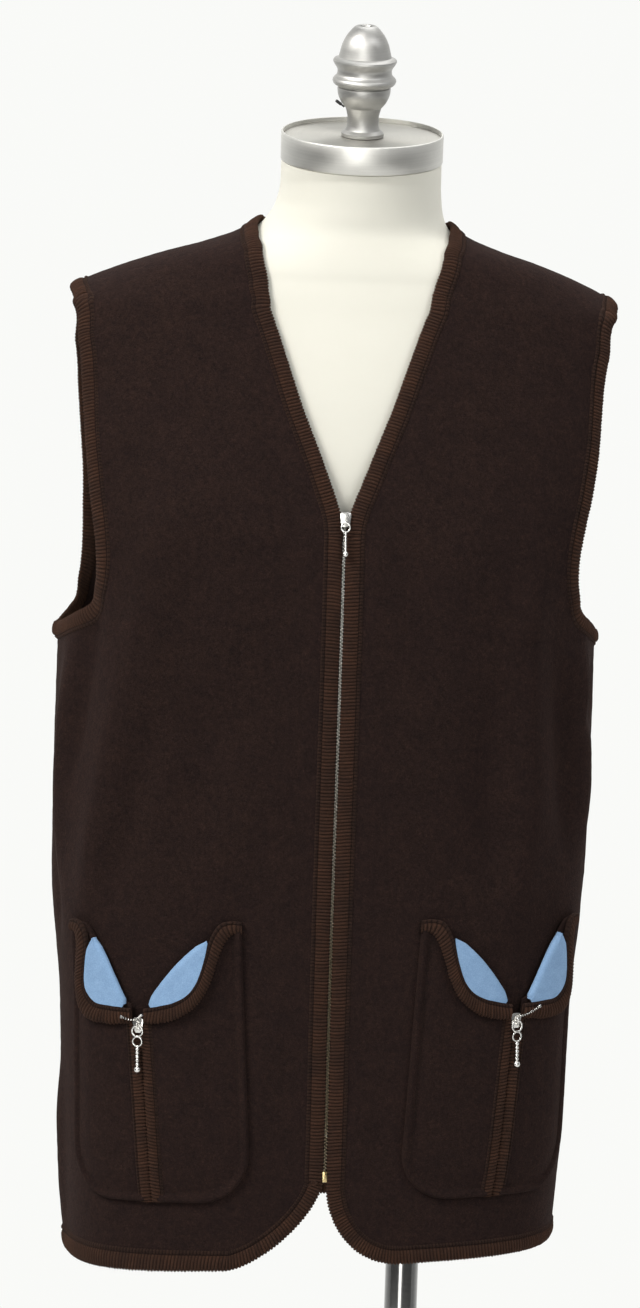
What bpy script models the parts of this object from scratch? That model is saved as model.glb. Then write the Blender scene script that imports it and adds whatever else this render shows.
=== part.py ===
"""Wool vest with a front zip and two lapelled patch pockets, worn by a limbless dress form on a pole and a base.

Metres, +Z up. The front faces -Y and the wearer's left is +X. The origin is the centre of the base's underside.
The cloth follows one skin of stacked rings. A place on it is (angle, height): angle 0 is the centre front, pi/2 the
wearer's left side and pi the centre back. Each piece is a sheet between two distances outside that skin.
"""

import math

import bmesh
import bpy
import numpy as np
from mathutils import Matrix, Vector

COLLECTION = "wool_vest_on_dress_form"

# Cloth and its edging
WALL = 0.0020
SEAM_GAP = 0.0003
TRIM_WIDTH = 0.0130
TRIM_RISE = 0.0030
TRIM_CROWN = 0.0006
KNOB_RISE = 0.0030
KNOB_REACH = 0.0100

# Heights of the vest above the base's underside
HEM = 0.606
BACK_HEM = 0.617
ZIP_FOOT = 0.671
UNDERARM = 1.087
SHOULDER_TIP = 1.344
NECK_POINT = 1.403

# Front zip
ZIP_SLOT = 0.0022
ZIP_HEAD = 1.1755
SLIDER_HEIGHT = 1.1735
TAPE_WIDTH = 0.0130
TAPE_OUTER = -0.0006
TAPE_INNER = -0.0016
TEETH_HALF = 0.0018
TEETH_OUTER = 0.0012
BOX_LENGTH = 0.0082
BOX_RISE = 0.0006

# Pocket, in its own flat measures: across from its slit, up from its foot
POCKET_FOOT = 0.656
POCKET_CENTRE = 0.1300
POCKET_LEAN = 0.090
POCKET_HALF = 0.0755
POCKET_ROUND = 0.0400
SLIT_TOP = 0.1366
SLIT_GAP = 0.0006
BAND_WIDTH = 0.0090
POCKET_LIFT = 0.0033
POCKET_BULGE = 0.0020
BULGE_REACH = 0.0500
LAPEL_LIFT = 0.0059
LAPEL_SPRING = 0.0030
LAPEL_EDGE_RISE = 0.0034
FACING_WALL = 0.0010
SLIDER_BELOW_SLIT_TOP = 0.0010

# Form, neck cap and stand
FORM_FOOT = 0.700
NECK_TOP = 1.4487
NECK_TILT = math.radians(14.0)
CAP_RADIUS = 0.0628
CAP_HEIGHT = 0.0220
CAP_TOP_WALL = 0.0020
CAP_RIM_WALL = 0.0015
CAP_RECESS = 0.0035
NECK_SEAT_RADIUS = 0.0620
POLE_RADIUS = 0.0129
POLE_ACROSS = 0.0610
BASE_RADIUS = 0.2300
BASE_HEIGHT = 0.0140
HUB_RADIUS = 0.0300
HUB_HEIGHT = 0.0480
TOUCH_GAP = 0.0003
SCREW_HEIGHT = 0.0240
SCREW_START = 0.0170
SCREW_LENGTH = 0.0040

# Slider and pull, in the slider's own axes: X across, Y up the zip, Z out of the cloth
SLIDER_WIDTH = 0.0085
SLIDER_LENGTH = 0.0115
SLIDER_PLATE = 0.0014
STEM_WIDTH = 0.0026
STEM_LENGTH = 0.0060
BAIL_RADIUS = 0.0026
BAIL_WIRE = 0.0006
FRONT_BAIL_DROP = 0.0030
BEAD_SIDES = 6
RING_WIRE = 0.0007
ARCH_HEIGHT = SLIDER_PLATE + 0.0002
PIVOT_HEIGHT = ARCH_HEIGHT + BAIL_RADIUS - BAIL_WIRE - RING_WIRE - 0.0003
LINK_OVERLAP = 0.0003
SLIDER_CLEARANCE = 0.0004

# The pulls' links from the slider down: kind, radius and how far each overlaps the one above
CHAIN_COLUMNS = ("kind", "radius", "overlap")
FRONT_CHAIN = (
    ("ring", 0.0033, 0.0),
    ("ball", 0.0013, LINK_OVERLAP),
    ("ball", 0.0013, LINK_OVERLAP),
    ("ball", 0.0013, LINK_OVERLAP),
    ("ball", 0.0013, LINK_OVERLAP),
    ("ball", 0.0013, LINK_OVERLAP),
    ("ball", 0.0013, LINK_OVERLAP),
    ("ball", 0.0025, LINK_OVERLAP),
)
POCKET_CHAIN = (
    ("ring", 0.0042, 0.0),
    ("ring", 0.0036, 0.0012),
    ("ball", 0.0016, LINK_OVERLAP),
    ("ball", 0.0016, LINK_OVERLAP),
    ("ball", 0.0016, LINK_OVERLAP),
    ("ball", 0.0016, LINK_OVERLAP),
    ("ball", 0.0016, LINK_OVERLAP),
    ("ball", 0.0027, LINK_OVERLAP),
)

# How finely the cloth and the form are divided
FRONT_COLUMNS = 12
SHOULDER_COLUMNS = 6
NECK_COLUMNS = 8
BACK_COLUMNS = 2 * SHOULDER_COLUMNS + NECK_COLUMNS
ROWS_BELOW = 14
ROWS_ABOVE = 14
TRIM_COLUMNS = 2
BEND_WEIGHT = 0.05
ZIP_ROWS = 22
LAPEL_ROWS = 10
FORM_AROUND = 30

# The form's rings and how loosely the cloth hangs outside them. turn is in degrees about the upright axis, square
# makes a ring boxier than an ellipse, and lean is how far the cloth's level rises toward the wearer's left.
RING_COLUMNS = (
    "height", "side", "front", "back", "centre", "sway", "turn", "square", "lean",
    "loose_side", "loose_front", "loose_back",
)
RINGS = (
    (0.590, 0.1600, 0.0970, 0.1000, 0.000, -0.0145, 5.0, 0.060, 0.068, 0.0277, 0.0310, 0.0140),
    (0.648, 0.1621, 0.0996, 0.1021, 0.000, -0.0142, 5.0, 0.060, 0.035, 0.0291, 0.0281, 0.0119),
    (0.700, 0.1640, 0.1020, 0.1040, 0.000, -0.0140, 5.0, 0.060, 0.034, 0.0307, 0.0255, 0.0100),
    (0.800, 0.1650, 0.1060, 0.1060, 0.000, -0.0147, 5.0, 0.060, 0.034, 0.0331, 0.0210, 0.0075),
    (0.900, 0.1520, 0.1000, 0.0930, 0.000, -0.015, 5.0, 0.055, 0.034, 0.0550, 0.0270, 0.0200),
    (1.000, 0.1430, 0.0970, 0.0830, 0.000, -0.015, 5.0, 0.045, 0.026, 0.0650, 0.0315, 0.0305),
    (1.085, 0.1600, 0.1060, 0.0920, 0.000, -0.015, 5.0, 0.040, 0.014, 0.0475, 0.0225, 0.0225),
    (1.150, 0.1710, 0.1140, 0.0990, 0.001, -0.015, 5.0, 0.040, 0.006, 0.0500, 0.0125, 0.0155),
    (1.200, 0.1780, 0.1130, 0.1020, 0.003, -0.014, 5.0, 0.038, 0.002, 0.0550, 0.0075, 0.0115),
    (1.250, 0.1860, 0.1060, 0.1025, 0.005, -0.013, 4.6, 0.034, 0.000, 0.0540, 0.0050, 0.0080),
    (1.300, 0.1920, 0.0955, 0.0975, 0.007, -0.012, 4.2, 0.026, 0.000, 0.0500, 0.0040, 0.0065),
    (1.330, 0.1945, 0.0880, 0.0920, 0.008, -0.011, 3.8, 0.020, 0.000, 0.0420, 0.0034, 0.0052),
    (1.337, 0.1940, 0.0862, 0.0905, 0.008, -0.010, 3.7, 0.019, 0.000, 0.0310, 0.0032, 0.0048),
    (1.344, 0.1925, 0.0843, 0.0888, 0.008, -0.010, 3.5, 0.018, 0.000, 0.0190, 0.0030, 0.0045),
    (1.351, 0.1860, 0.0823, 0.0870, 0.008, -0.009, 3.3, 0.016, 0.000, 0.0120, 0.0028, 0.0043),
    (1.360, 0.1710, 0.0797, 0.0843, 0.007, -0.008, 3.0, 0.014, 0.000, 0.0060, 0.0028, 0.0042),
    (1.3715, 0.1380, 0.0756, 0.0782, 0.006, -0.007, 2.5, 0.010, 0.000, 0.0070, 0.0032, 0.0061),
    (1.381, 0.1054, 0.0717, 0.0728, 0.005, -0.006, 2.0, 0.006, 0.000, 0.0082, 0.0038, 0.0075),
    (1.391, 0.0812, 0.0680, 0.0684, 0.004, -0.005, 1.0, 0.003, 0.000, 0.0070, 0.0037, 0.0066),
    (1.403, 0.0695, 0.0655, 0.0662, 0.001, -0.003, 0.0, 0.000, 0.000, 0.0026, 0.0022, 0.0024),
    (1.415, 0.0645, 0.0635, 0.0635, -0.002, -0.001, 0.0, 0.000, 0.000, 0.0020, 0.0015, 0.0015),
    (1.432, 0.0622, 0.0622, 0.0622, -0.006, 0.000, 0.0, 0.000, 0.000, 0.0020, 0.0015, 0.0015),
    (1.470, 0.0620, 0.0620, 0.0620, -0.0155, 0.000, 0.0, 0.000, 0.000, 0.0020, 0.0015, 0.0015),
)

# V neck: height and half width, from the neck point down to the zip
NECKLINE_COLUMNS = ("height", "half_width")
NECKLINE = (
    (1.4010, 0.0733),
    (1.3950, 0.0745),
    (1.3870, 0.0735),
    (1.3760, 0.0700),
    (1.3600, 0.0668),
    (1.3400, 0.0625),
    (1.3160, 0.0555),
    (1.2860, 0.0450),
    (1.2560, 0.0345),
    (1.2260, 0.0225),
    (1.2080, 0.0155),
    (1.1950, 0.0105),
    (1.1840, 0.0064),
    (1.1740, 0.0036),
    (1.1640, 0.0024),
)

# Back neck: angle from the side to the centre back, as a share, and height
BACK_NECK_COLUMNS = ("share", "height")
BACK_NECK = ((0.0, 1.4030), (0.25, 1.4015), (0.6, 1.3970), (1.0, 1.3950))

# Armhole: height, and half width on the front and on the back
ARMHOLE_COLUMNS = ("height", "front", "back")
ARMHOLE = (
    (1.3320, 0.2085, 0.2080),
    (1.3000, 0.2025, 0.2030),
    (1.2620, 0.1995, 0.1985),
    (1.2320, 0.1970, 0.1955),
    (1.2000, 0.1925, 0.1925),
    (1.1700, 0.1872, 0.1900),
    (1.1400, 0.1835, 0.1880),
    (1.1180, 0.1855, 0.1895),
    (1.1000, 0.1925, 0.1945),
)

# The round corner at the foot of each front's zip edge: how far across it reaches, and the power of its curve
CORNERS = {"right": (0.070, 1.5), "left": (0.058, 2.0)}

# A lapel of each half of a pocket, across from the slit and up from the foot: places along the line where it turns
# out of the pocket, and across from them the border between its light blue facing and its edging
LAPEL = {
    "inner": (
        (0.0545, 0.2000, 0.0551, 0.1987), (0.0478, 0.1948, 0.0524, 0.1888), (0.0393, 0.1876, 0.0484, 0.1776),
        (0.0316, 0.1801, 0.0436, 0.1676), (0.0246, 0.1722, 0.0366, 0.1596), (0.0174, 0.1632, 0.0272, 0.1543),
        (0.0122, 0.1561, 0.0177, 0.1514), (0.0092, 0.1517, 0.0106, 0.1496),
    ),
    "outer": (
        (0.0310, 0.2005, 0.0316, 0.1995), (0.0272, 0.1925, 0.0355, 0.1915), (0.0232, 0.1845, 0.0376, 0.1790),
        (0.0196, 0.1755, 0.0384, 0.1660), (0.0160, 0.1670, 0.0360, 0.1582), (0.0132, 0.1602, 0.0298, 0.1518),
        (0.0110, 0.1552, 0.0200, 0.1500), (0.0092, 0.1512, 0.0106, 0.1490),
    ),
}

# That lapel's edging, from the pocket's top corner to the slit: its border and its free edge
LAPEL_EDGE = {
    "inner": (
        (0.0810, 0.2140, 0.0810, 0.2052), (0.0730, 0.2146, 0.0750, 0.2058), (0.0645, 0.2122, 0.0706, 0.2036),
        (0.0574, 0.2018, 0.0655, 0.1962), (0.0530, 0.1886, 0.0603, 0.1842), (0.0489, 0.1772, 0.0555, 0.1710),
        (0.0440, 0.1671, 0.0486, 0.1584), (0.0368, 0.1590, 0.0395, 0.1488), (0.0273, 0.1537, 0.0283, 0.1420),
        (0.0177, 0.1508, 0.0167, 0.1388), (0.0106, 0.1490, 0.0092, 0.1378), (0.0050, 0.1480, 0.0050, 0.1374),
    ),
    "outer": (
        (0.0590, 0.2115, 0.0590, 0.2030), (0.0520, 0.2125, 0.0545, 0.2036), (0.0440, 0.2112, 0.0508, 0.2012),
        (0.0378, 0.2040, 0.0484, 0.1950), (0.0366, 0.1925, 0.0484, 0.1862), (0.0386, 0.1787, 0.0492, 0.1745),
        (0.0394, 0.1655, 0.0492, 0.1602), (0.0369, 0.1574, 0.0462, 0.1468), (0.0304, 0.1510, 0.0384, 0.1388),
        (0.0202, 0.1492, 0.0220, 0.1366), (0.0108, 0.1482, 0.0112, 0.1374), (0.0050, 0.1478, 0.0050, 0.1374),
    ),
}

# The top of the pocket's patch under that lapel, from the slit band to the top corner
PATCH_TOP = {
    "inner": (
        (0.0099, 0.1522), (0.0172, 0.1625), (0.0244, 0.1716), (0.0314, 0.1796), (0.0391, 0.1871),
        (0.0555, 0.2005), (0.0655, 0.2125), (0.0810, 0.2140),
    ),
    "outer": (
        (0.0099, 0.1512), (0.0128, 0.1592), (0.0160, 0.1664), (0.0196, 0.1750), (0.0232, 0.1840),
        (0.0318, 0.2000), (0.0400, 0.2095), (0.0590, 0.2115),
    ),
}

# Half width of the pocket's foot
FOOT_HALF = {"inner": 0.0755, "outer": 0.0715}

# Turned profiles of the finial, from its foot to its tip: height above the cap and radius
FINIAL_COLUMNS = ("height", "radius")
FINIAL = (
    (0.0000, 0.0164),
    (0.0030, 0.0164),
    (0.0050, 0.0136),
    (0.0090, 0.0122),
    (0.0165, 0.0122),
    (0.0215, 0.0136),
    (0.0260, 0.0170),
    (0.0320, 0.0200),
    (0.0370, 0.0206),
    (0.0382, 0.0200),
    (0.0400, 0.0226),
    (0.0432, 0.0246),
    (0.0455, 0.0238),
    (0.0485, 0.0212),
    (0.0520, 0.0210),
    (0.0550, 0.0228),
    (0.0583, 0.0246),
    (0.0600, 0.0238),
    (0.0646, 0.0196),
    (0.0710, 0.0180),
    (0.0780, 0.0146),
    (0.0830, 0.0106),
    (0.0857, 0.0076),
    (0.0852, 0.0040),
    (0.0800, 0.0036),
)

SIDES = (("right", -1.0), ("left", 1.0))
HALVES = (("inner", -1.0), ("outer", 1.0))


def material(name, colour, roughness, metallic=0.0):
    made = bpy.data.materials.new(name)
    made.use_nodes = True
    shader = made.node_tree.nodes["Principled BSDF"]
    shader.inputs["Base Color"].default_value = (*colour, 1.0)
    shader.inputs["Roughness"].default_value = roughness
    shader.inputs["Metallic"].default_value = metallic
    return made


def make_materials():
    return {
        "wool": material("wool", (0.022, 0.013, 0.011), 0.95),
        "edging": material("edging", (0.045, 0.024, 0.017), 0.85),
        "felt": material("felt", (0.24, 0.42, 0.62), 0.95),
        "tape": material("tape", (0.012, 0.009, 0.008), 0.90),
        "silver": material("silver", (0.66, 0.65, 0.62), 0.30, 1.0),
        "steel": material("steel", (0.60, 0.59, 0.56), 0.35, 1.0),
        "jersey": material("jersey", (0.86, 0.84, 0.72), 0.90),
        "black": material("black", (0.02, 0.02, 0.02), 0.50),
    }


def columns(table, names):
    """The table's columns by name, as arrays."""
    return dict(zip(names, np.array(table, float).T))


def smooth(xs, ys, x):
    """The cubic curve through (xs, ys) whose slopes are limited, so that it never overshoots the table."""
    xs = np.asarray(xs, float)
    ys = np.asarray(ys, float)
    step = np.diff(xs)
    rise = np.diff(ys) / step
    slope = np.zeros_like(ys)
    same = rise[:-1] * rise[1:] > 0
    total = np.where(same, rise[:-1] + rise[1:], 1.0)
    slope[1:-1] = np.where(same, 2 * rise[:-1] * rise[1:] / total, 0.0)
    slope[0] = rise[0]
    slope[-1] = rise[-1]
    i = np.clip(np.searchsorted(xs, x) - 1, 0, len(step) - 1)
    t = (x - xs[i]) / step[i]
    start = ys[i] * (1 + 2 * t) * (1 - t) ** 2 + slope[i] * step[i] * t * (1 - t) ** 2
    end = ys[i + 1] * t**2 * (3 - 2 * t) - slope[i + 1] * step[i] * t**2 * (1 - t)
    return start + end


def spline(points, count, closed=False):
    """A smooth curve through a few points of the plane, with count points at even steps of its parameter."""
    points = np.asarray(points, float)
    if closed:
        padded = np.vstack([points[-1], points, points[0], points[1]])
        spans = len(points)
    else:
        padded = np.vstack([2 * points[0] - points[1], points, 2 * points[-1] - points[-2]])
        spans = len(points) - 1
    found = []
    for t in np.linspace(0, spans, count):
        i = min(int(t), spans - 1)
        u = t - i
        p0, p1, p2, p3 = padded[i : i + 4]
        found.append(
            0.5 * (2 * p1 + (p2 - p0) * u + (2 * p0 - 5 * p1 + 4 * p2 - p3) * u**2 + (3 * p1 - p0 - 3 * p2 + p3) * u**3)
        )
    return np.array(found)


class Skin:
    """The surface of stacked rings. looseness 0 is the form itself and 1 is the inner face of the cloth."""

    STEP = 1e-4

    def __init__(self, looseness):
        self.table = columns(RINGS, RING_COLUMNS)
        for part in ("side", "front", "back"):
            self.table[part] = self.table[part] + looseness * self.table["loose_" + part]
        self.table["lean"] = looseness * self.table["lean"]

    def ring(self, name, height):
        return smooth(self.table["height"], self.table[name], height)

    def flat(self, angle, height):
        """Across and along the depth, in the ring's own plane before it is turned and moved."""
        square = self.ring("square", height)
        across = (1 + square) * np.sin(angle) + square * np.sin(3 * angle)
        along = (1 + square) * np.cos(angle) - square * np.cos(3 * angle)
        depth = np.where(along > 0, self.ring("front", height), self.ring("back", height))
        return self.ring("side", height) * across, -depth * along

    def points(self, angle, height):
        angle = np.asarray(angle, float)
        height = np.asarray(height, float)
        x, y = self.flat(angle, height)
        y = y + self.ring("centre", height)
        turn = np.radians(self.ring("turn", height))
        across = x * np.cos(turn) - y * np.sin(turn)
        level = height + self.ring("lean", height) * across
        return np.stack([across + self.ring("sway", height), x * np.sin(turn) + y * np.cos(turn), level], -1)

    def nearest(self, place, steps=25):
        """The places of the skin that lie nearest to points in space."""
        height = place[..., 2]
        turn = np.radians(self.ring("turn", height))
        x = place[..., 0] - self.ring("sway", height)
        y = place[..., 1]
        height = height - self.ring("lean", height) * x
        across = x * np.cos(turn) + y * np.sin(turn)
        along = y * np.cos(turn) - x * np.sin(turn) - self.ring("centre", height)
        depth = np.where(along < 0, self.ring("front", height), self.ring("back", height))
        angle = np.arctan2(across / self.ring("side", height), -along / depth) % (2 * math.pi)
        for _ in range(steps):
            by_angle, by_height = self.slopes(angle, height)
            off = place - self.points(angle, height)
            aa = (by_angle * by_angle).sum(-1)
            ah = (by_angle * by_height).sum(-1)
            hh = (by_height * by_height).sum(-1)
            a_off = (by_angle * off).sum(-1)
            h_off = (by_height * off).sum(-1)
            scale = 0.6 / (aa * hh - ah * ah)
            angle = angle + np.clip((a_off * hh - h_off * ah) * scale, -0.1, 0.1)
            height = height + np.clip((h_off * aa - a_off * ah) * scale, -0.01, 0.01)
        return np.stack([angle, height], -1)

    def slopes(self, angle, height):
        by_angle = (self.points(angle + self.STEP, height) - self.points(angle - self.STEP, height)) / (2 * self.STEP)
        by_height = (self.points(angle, height + self.STEP) - self.points(angle, height - self.STEP)) / (2 * self.STEP)
        return by_angle, by_height

    def normals(self, angle, height):
        normal = np.cross(*self.slopes(angle, height))
        return normal / np.linalg.norm(normal, axis=-1, keepdims=True)

    def angle_at_side(self, across, height):
        """The angle on the front whose distance from the centre line is across."""
        low = np.zeros_like(np.asarray(across, float) + height)
        high = low + math.pi / 2
        for _ in range(40):
            middle = (low + high) / 2
            short = self.flat(middle, height + 0 * middle)[0] < across
            low = np.where(short, middle, low)
            high = np.where(short, high, middle)
        return (low + high) / 2

    def angle_at_arc(self, arc, height):
        """The angle that lies arc metres round the ring from the centre front."""
        angles = np.linspace(0, math.pi, 181)
        arc = np.asarray(arc, float)
        found = np.empty(arc.shape)
        for index in np.ndindex(arc.shape):
            x, y = self.flat(angles, np.full(angles.shape, height[index]))
            run = np.concatenate([[0], np.cumsum(np.hypot(np.diff(x), np.diff(y)))])
            found[index] = np.interp(arc[index], run, angles)
        return found

    def inset(self, curve, width, steps=4):
        """The curve moved sideways over the surface by width, to the left of its run seen from outside."""
        curve = np.array(curve, float)
        for _ in range(steps):
            angle, height = curve.T
            place = self.points(angle, height)
            run = np.gradient(place, axis=0)
            by_angle, by_height = self.slopes(angle, height)
            normal = np.cross(by_angle, by_height)
            side = np.cross(normal, run)
            side *= (width / steps) / np.linalg.norm(side, axis=1, keepdims=True)
            for i in range(len(curve)):
                basis = np.stack([by_angle[i], by_height[i]], 1)
                curve[i] += np.linalg.lstsq(basis, side[i], rcond=None)[0]
        return curve

    def spaced(self, curve, shares):
        """Points of the curve at the given shares of its length."""
        curve = np.asarray(curve, float)
        place = self.points(curve[:, 0], curve[:, 1])
        run = np.concatenate([[0], np.cumsum(np.linalg.norm(np.diff(place, axis=0), axis=1))])
        return np.stack([np.interp(np.asarray(shares) * run[-1], run, curve[:, k]) for k in (0, 1)], 1)


CLOTH = Skin(1.0)
FORM = Skin(0.0)
SIDE_ANGLE = math.pi / 2
SEAM = SIDE_ANGLE - 0.5 * SEAM_GAP / 0.09
PANEL_INSET = TRIM_WIDTH + SEAM_GAP


def add_object(name, mesh, parts, finish):
    mesh.materials.append(finish)
    made = bpy.data.objects.new(name, mesh)
    parts.objects.link(made)
    return made


def mesh_of(name, bm, smooth_angle=math.radians(40)):
    """The bmesh as a mesh that faces out and is shaded smooth but for its sharp edges."""
    bmesh.ops.recalc_face_normals(bm, faces=bm.faces)
    mesh = bpy.data.meshes.new(name)
    bm.to_mesh(mesh)
    bm.free()
    mesh.shade_smooth()
    mesh.set_sharp_from_angle(angle=smooth_angle)
    return mesh


def grid_faces(bm, rows, wrap):
    """Quads between neighbouring rows of vertices; wrap joins the last row to the first."""
    count = len(rows) if wrap else len(rows) - 1
    for i in range(count):
        first = rows[i]
        second = rows[(i + 1) % len(rows)]
        for k in range(len(first) - 1):
            bm.faces.new((first[k], first[k + 1], second[k + 1], second[k]))


def add_sheet(name, grid, low, high, parts, finish, side=1.0, wrap=False):
    """A closed sheet over a grid of (angle, height), from low to high outside the skin.

    Both faces are lofted from the same places, so that two sheets that meet at a seam keep an even gap.
    """
    angle = side * grid[..., 0]
    height = grid[..., 1]
    place = CLOTH.points(angle, height)
    normal = CLOTH.normals(angle, height)
    bm = bmesh.new()
    faces = []
    for distance in (low, high):
        distance = np.broadcast_to(np.asarray(distance, float), angle.shape)
        corners = place + normal * distance[..., None]
        faces.append([[bm.verts.new(Vector(p)) for p in row] for row in corners])
    inner, outer = faces
    grid_faces(bm, inner, wrap)
    grid_faces(bm, outer, wrap)
    first = [[row[0] for row in inner], [row[0] for row in outer]]
    last = [[row[-1] for row in inner], [row[-1] for row in outer]]
    for pair in (first, last):
        for i in range(len(inner) if wrap else len(inner) - 1):
            j = (i + 1) % len(inner)
            bm.faces.new((pair[0][i], pair[0][j], pair[1][j], pair[1][i]))
    if not wrap:
        grid_faces(bm, [inner[0], outer[0]], False)
        grid_faces(bm, [inner[-1], outer[-1]], False)
    return add_object(name, mesh_of(name, bm), parts, finish)


def across_rows(bottom, top, left, right, power=1.0):
    """A grid whose four borders are the given curves, with its inside blended from them.

    A power over 1 keeps the top's own shape out of the lower rows.
    """
    u = np.linspace(0, 1, len(bottom))[None, :, None]
    v = np.linspace(0, 1, len(left))[:, None, None] ** power
    between_sides = (1 - u) * left[:, None] + u * right[:, None]
    between_ends = (1 - v) * bottom[None] + v * top[None]
    corners = (1 - v) * ((1 - u) * bottom[0] + u * bottom[-1]) + v * ((1 - u) * top[0] + u * top[-1])
    return between_sides + between_ends - corners


def over_skin(bottom, top, left, right):
    """across_rows on the cloth's skin: the borders blend in space, and each inside place then goes to the skin."""
    borders = (bottom, top, left, right)
    blended = across_rows(*(CLOTH.points(border[:, 0], border[:, 1]) for border in borders), power=3.0)
    grid = np.empty(blended.shape[:2] + (2,))
    grid[1:-1, 1:-1] = CLOTH.nearest(blended[1:-1, 1:-1])
    grid[0] = bottom
    grid[-1] = top
    grid[:, 0] = left
    grid[:, -1] = right
    return grid


def strip(outer, inner, count):
    """A grid of rows between two curves, with count columns at even steps."""
    t = np.linspace(0, 1, count)[None, :, None]
    return (1 - t) * outer[:, None] + t * inner[:, None]


def crown(rows, count, rise=TRIM_RISE):
    """Heights of an edging's outer face: lower at both borders than along its middle."""
    t = np.linspace(0, 1, count)
    return np.broadcast_to(rise - TRIM_CROWN * (2 * t - 1) ** 2, (rows, count))


def front_edge(name):
    """A front's free edge: from the shoulder down the V neck and the zip, round the corner and along the hem.

    The second value is the index where the corner ends and the hem begins.
    """
    neck = columns(NECKLINE, NECKLINE_COLUMNS)
    angles = CLOTH.angle_at_side(neck["half_width"], neck["height"])
    points = [(SEAM, NECK_POINT)] + list(zip(angles, neck["height"]))
    upper = spline(points, 240)
    zip_heights = np.linspace(NECKLINE[-1][0], ZIP_FOOT, 120)[1:]
    slot = np.full(zip_heights.shape, ZIP_SLOT)
    straight = np.stack([CLOTH.angle_at_side(slot, zip_heights), zip_heights], 1)
    turn = np.linspace(0, SIDE_ANGLE, 60)[1:]
    width, power = CORNERS[name]
    corner_across = ZIP_SLOT + width * (1 - np.abs(np.cos(turn)) ** (2 / power))
    corner_height = ZIP_FOOT - (ZIP_FOOT - HEM) * np.sin(turn) ** (2 / power)
    corner = np.stack([CLOTH.angle_at_side(corner_across, corner_height), corner_height], 1)
    hem_angles = np.linspace(corner[-1, 0], SEAM, 100)[1:]
    hem = np.stack([hem_angles, np.full(hem_angles.shape, HEM)], 1)
    before = np.vstack([upper, straight, corner])
    return np.vstack([before, hem]), len(before) - 1


def back_neck_edge():
    """The back neck, from the left shoulder seam to the right one."""
    table = columns(BACK_NECK, BACK_NECK_COLUMNS)
    share = np.linspace(0, 1, 80)
    height = smooth(table["share"], table["height"], share)
    left = np.stack([math.pi - SEAM + share * SEAM, height], 1)
    right = np.stack([2 * math.pi - left[::-1, 0], left[::-1, 1]], 1)
    return np.vstack([left, right[1:]])


def back_hem_edge():
    """The back hem, from the left side seam to the right one, a little higher at the centre back."""
    share = np.linspace(0, 1, 161)
    angle = math.pi + SEAM * (2 * share - 1)
    height = HEM + (BACK_HEM - HEM) * np.sin(math.pi * share) ** 2
    return np.stack([angle, height], 1)


def armhole_edge():
    """The left armhole as one loop: shoulder tip, down the front, under the arm and up the back.

    The second value is the index of the lowest point, under the arm.
    """
    table = columns(ARMHOLE, ARMHOLE_COLUMNS)
    front = CLOTH.angle_at_side(table["front"], table["height"])
    back = math.pi - CLOTH.angle_at_side(table["back"], table["height"])
    loop = [(SIDE_ANGLE, SHOULDER_TIP)] + list(zip(front, table["height"])) + [(SIDE_ANGLE, UNDERARM)]
    loop += list(zip(back, table["height"]))[::-1]
    return spline(loop, 20 * len(loop) + 1, closed=True), 10 * len(loop)


def within(curve, low, high):
    """The curve with its angles held between two seams."""
    curve = curve.copy()
    curve[..., 0] = np.clip(curve[..., 0], low, high)
    return curve


def closed_inset(loop, width):
    """inset for a loop whose last point repeats its first."""
    overlap = 12
    longer = np.vstack([loop[-overlap - 1 : -1], loop, loop[1 : overlap + 1]])
    return CLOTH.inset(longer, width)[overlap:-overlap]


def pick(curve, index):
    """The curve's places at fractional indexes."""
    steps = np.arange(len(curve))
    return np.stack([np.interp(index, steps, curve[:, k]) for k in (0, 1)], 1)


def stations(curve, first, last, count):
    """Indexes of count steps along a dense curve, closer together where it bends."""
    angle, height = curve[first : last + 1].T
    place = CLOTH.points(angle, height)
    step = np.diff(place, axis=0)
    length = np.linalg.norm(step, axis=1)
    heading = step / length[:, None]
    bend = np.concatenate([[0], np.arccos(np.clip((heading[1:] * heading[:-1]).sum(1), -1, 1))])
    run = np.concatenate([[0], np.cumsum(length + BEND_WEIGHT * bend)])
    return np.interp(np.linspace(0, run[-1], count + 1), run, np.arange(first, last + 1))


def front_stations(name):
    """Where the front's rows and columns meet its free edge: the shoulder to the underarm's level, on to the
    hem's corner, and along the hem. The rows above that level keep pace with the armhole's."""
    edge, corner = front_edge(name)
    loop, arm, _ = arm_stations()
    reached = pick(closed_inset(loop, -PANEL_INSET), arm)[:, 1]
    share = (reached - reached[-1]) / (reached[0] - reached[-1])
    level = reached[-1]
    heights = level + share * (NECK_POINT - level)
    upper = np.interp(-heights, -edge[: corner + 1, 1], np.arange(corner + 1))
    lower = stations(edge, int(round(upper[-1])), corner, ROWS_BELOW)
    lower[0] = upper[-1]
    hem = stations(edge, corner, len(edge) - 1, FRONT_COLUMNS)
    return edge, upper, lower, hem


def arm_stations():
    """Where the rows of the front and of the back meet the armhole, each from the shoulder to the underarm."""
    loop, lowest = armhole_edge()
    front = stations(loop, 0, lowest, ROWS_ABOVE)
    back = stations(loop, lowest, len(loop) - 1, ROWS_ABOVE)
    return loop, front, back


def seam_line(start, end, steps):
    """A straight run of (angle, height) between two places, at even steps of the real length."""
    t = np.linspace(0, 1, 60)[:, None]
    return CLOTH.spaced((1 - t) * np.asarray(start) + t * np.asarray(end), np.linspace(0, 1, steps + 1))


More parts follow.
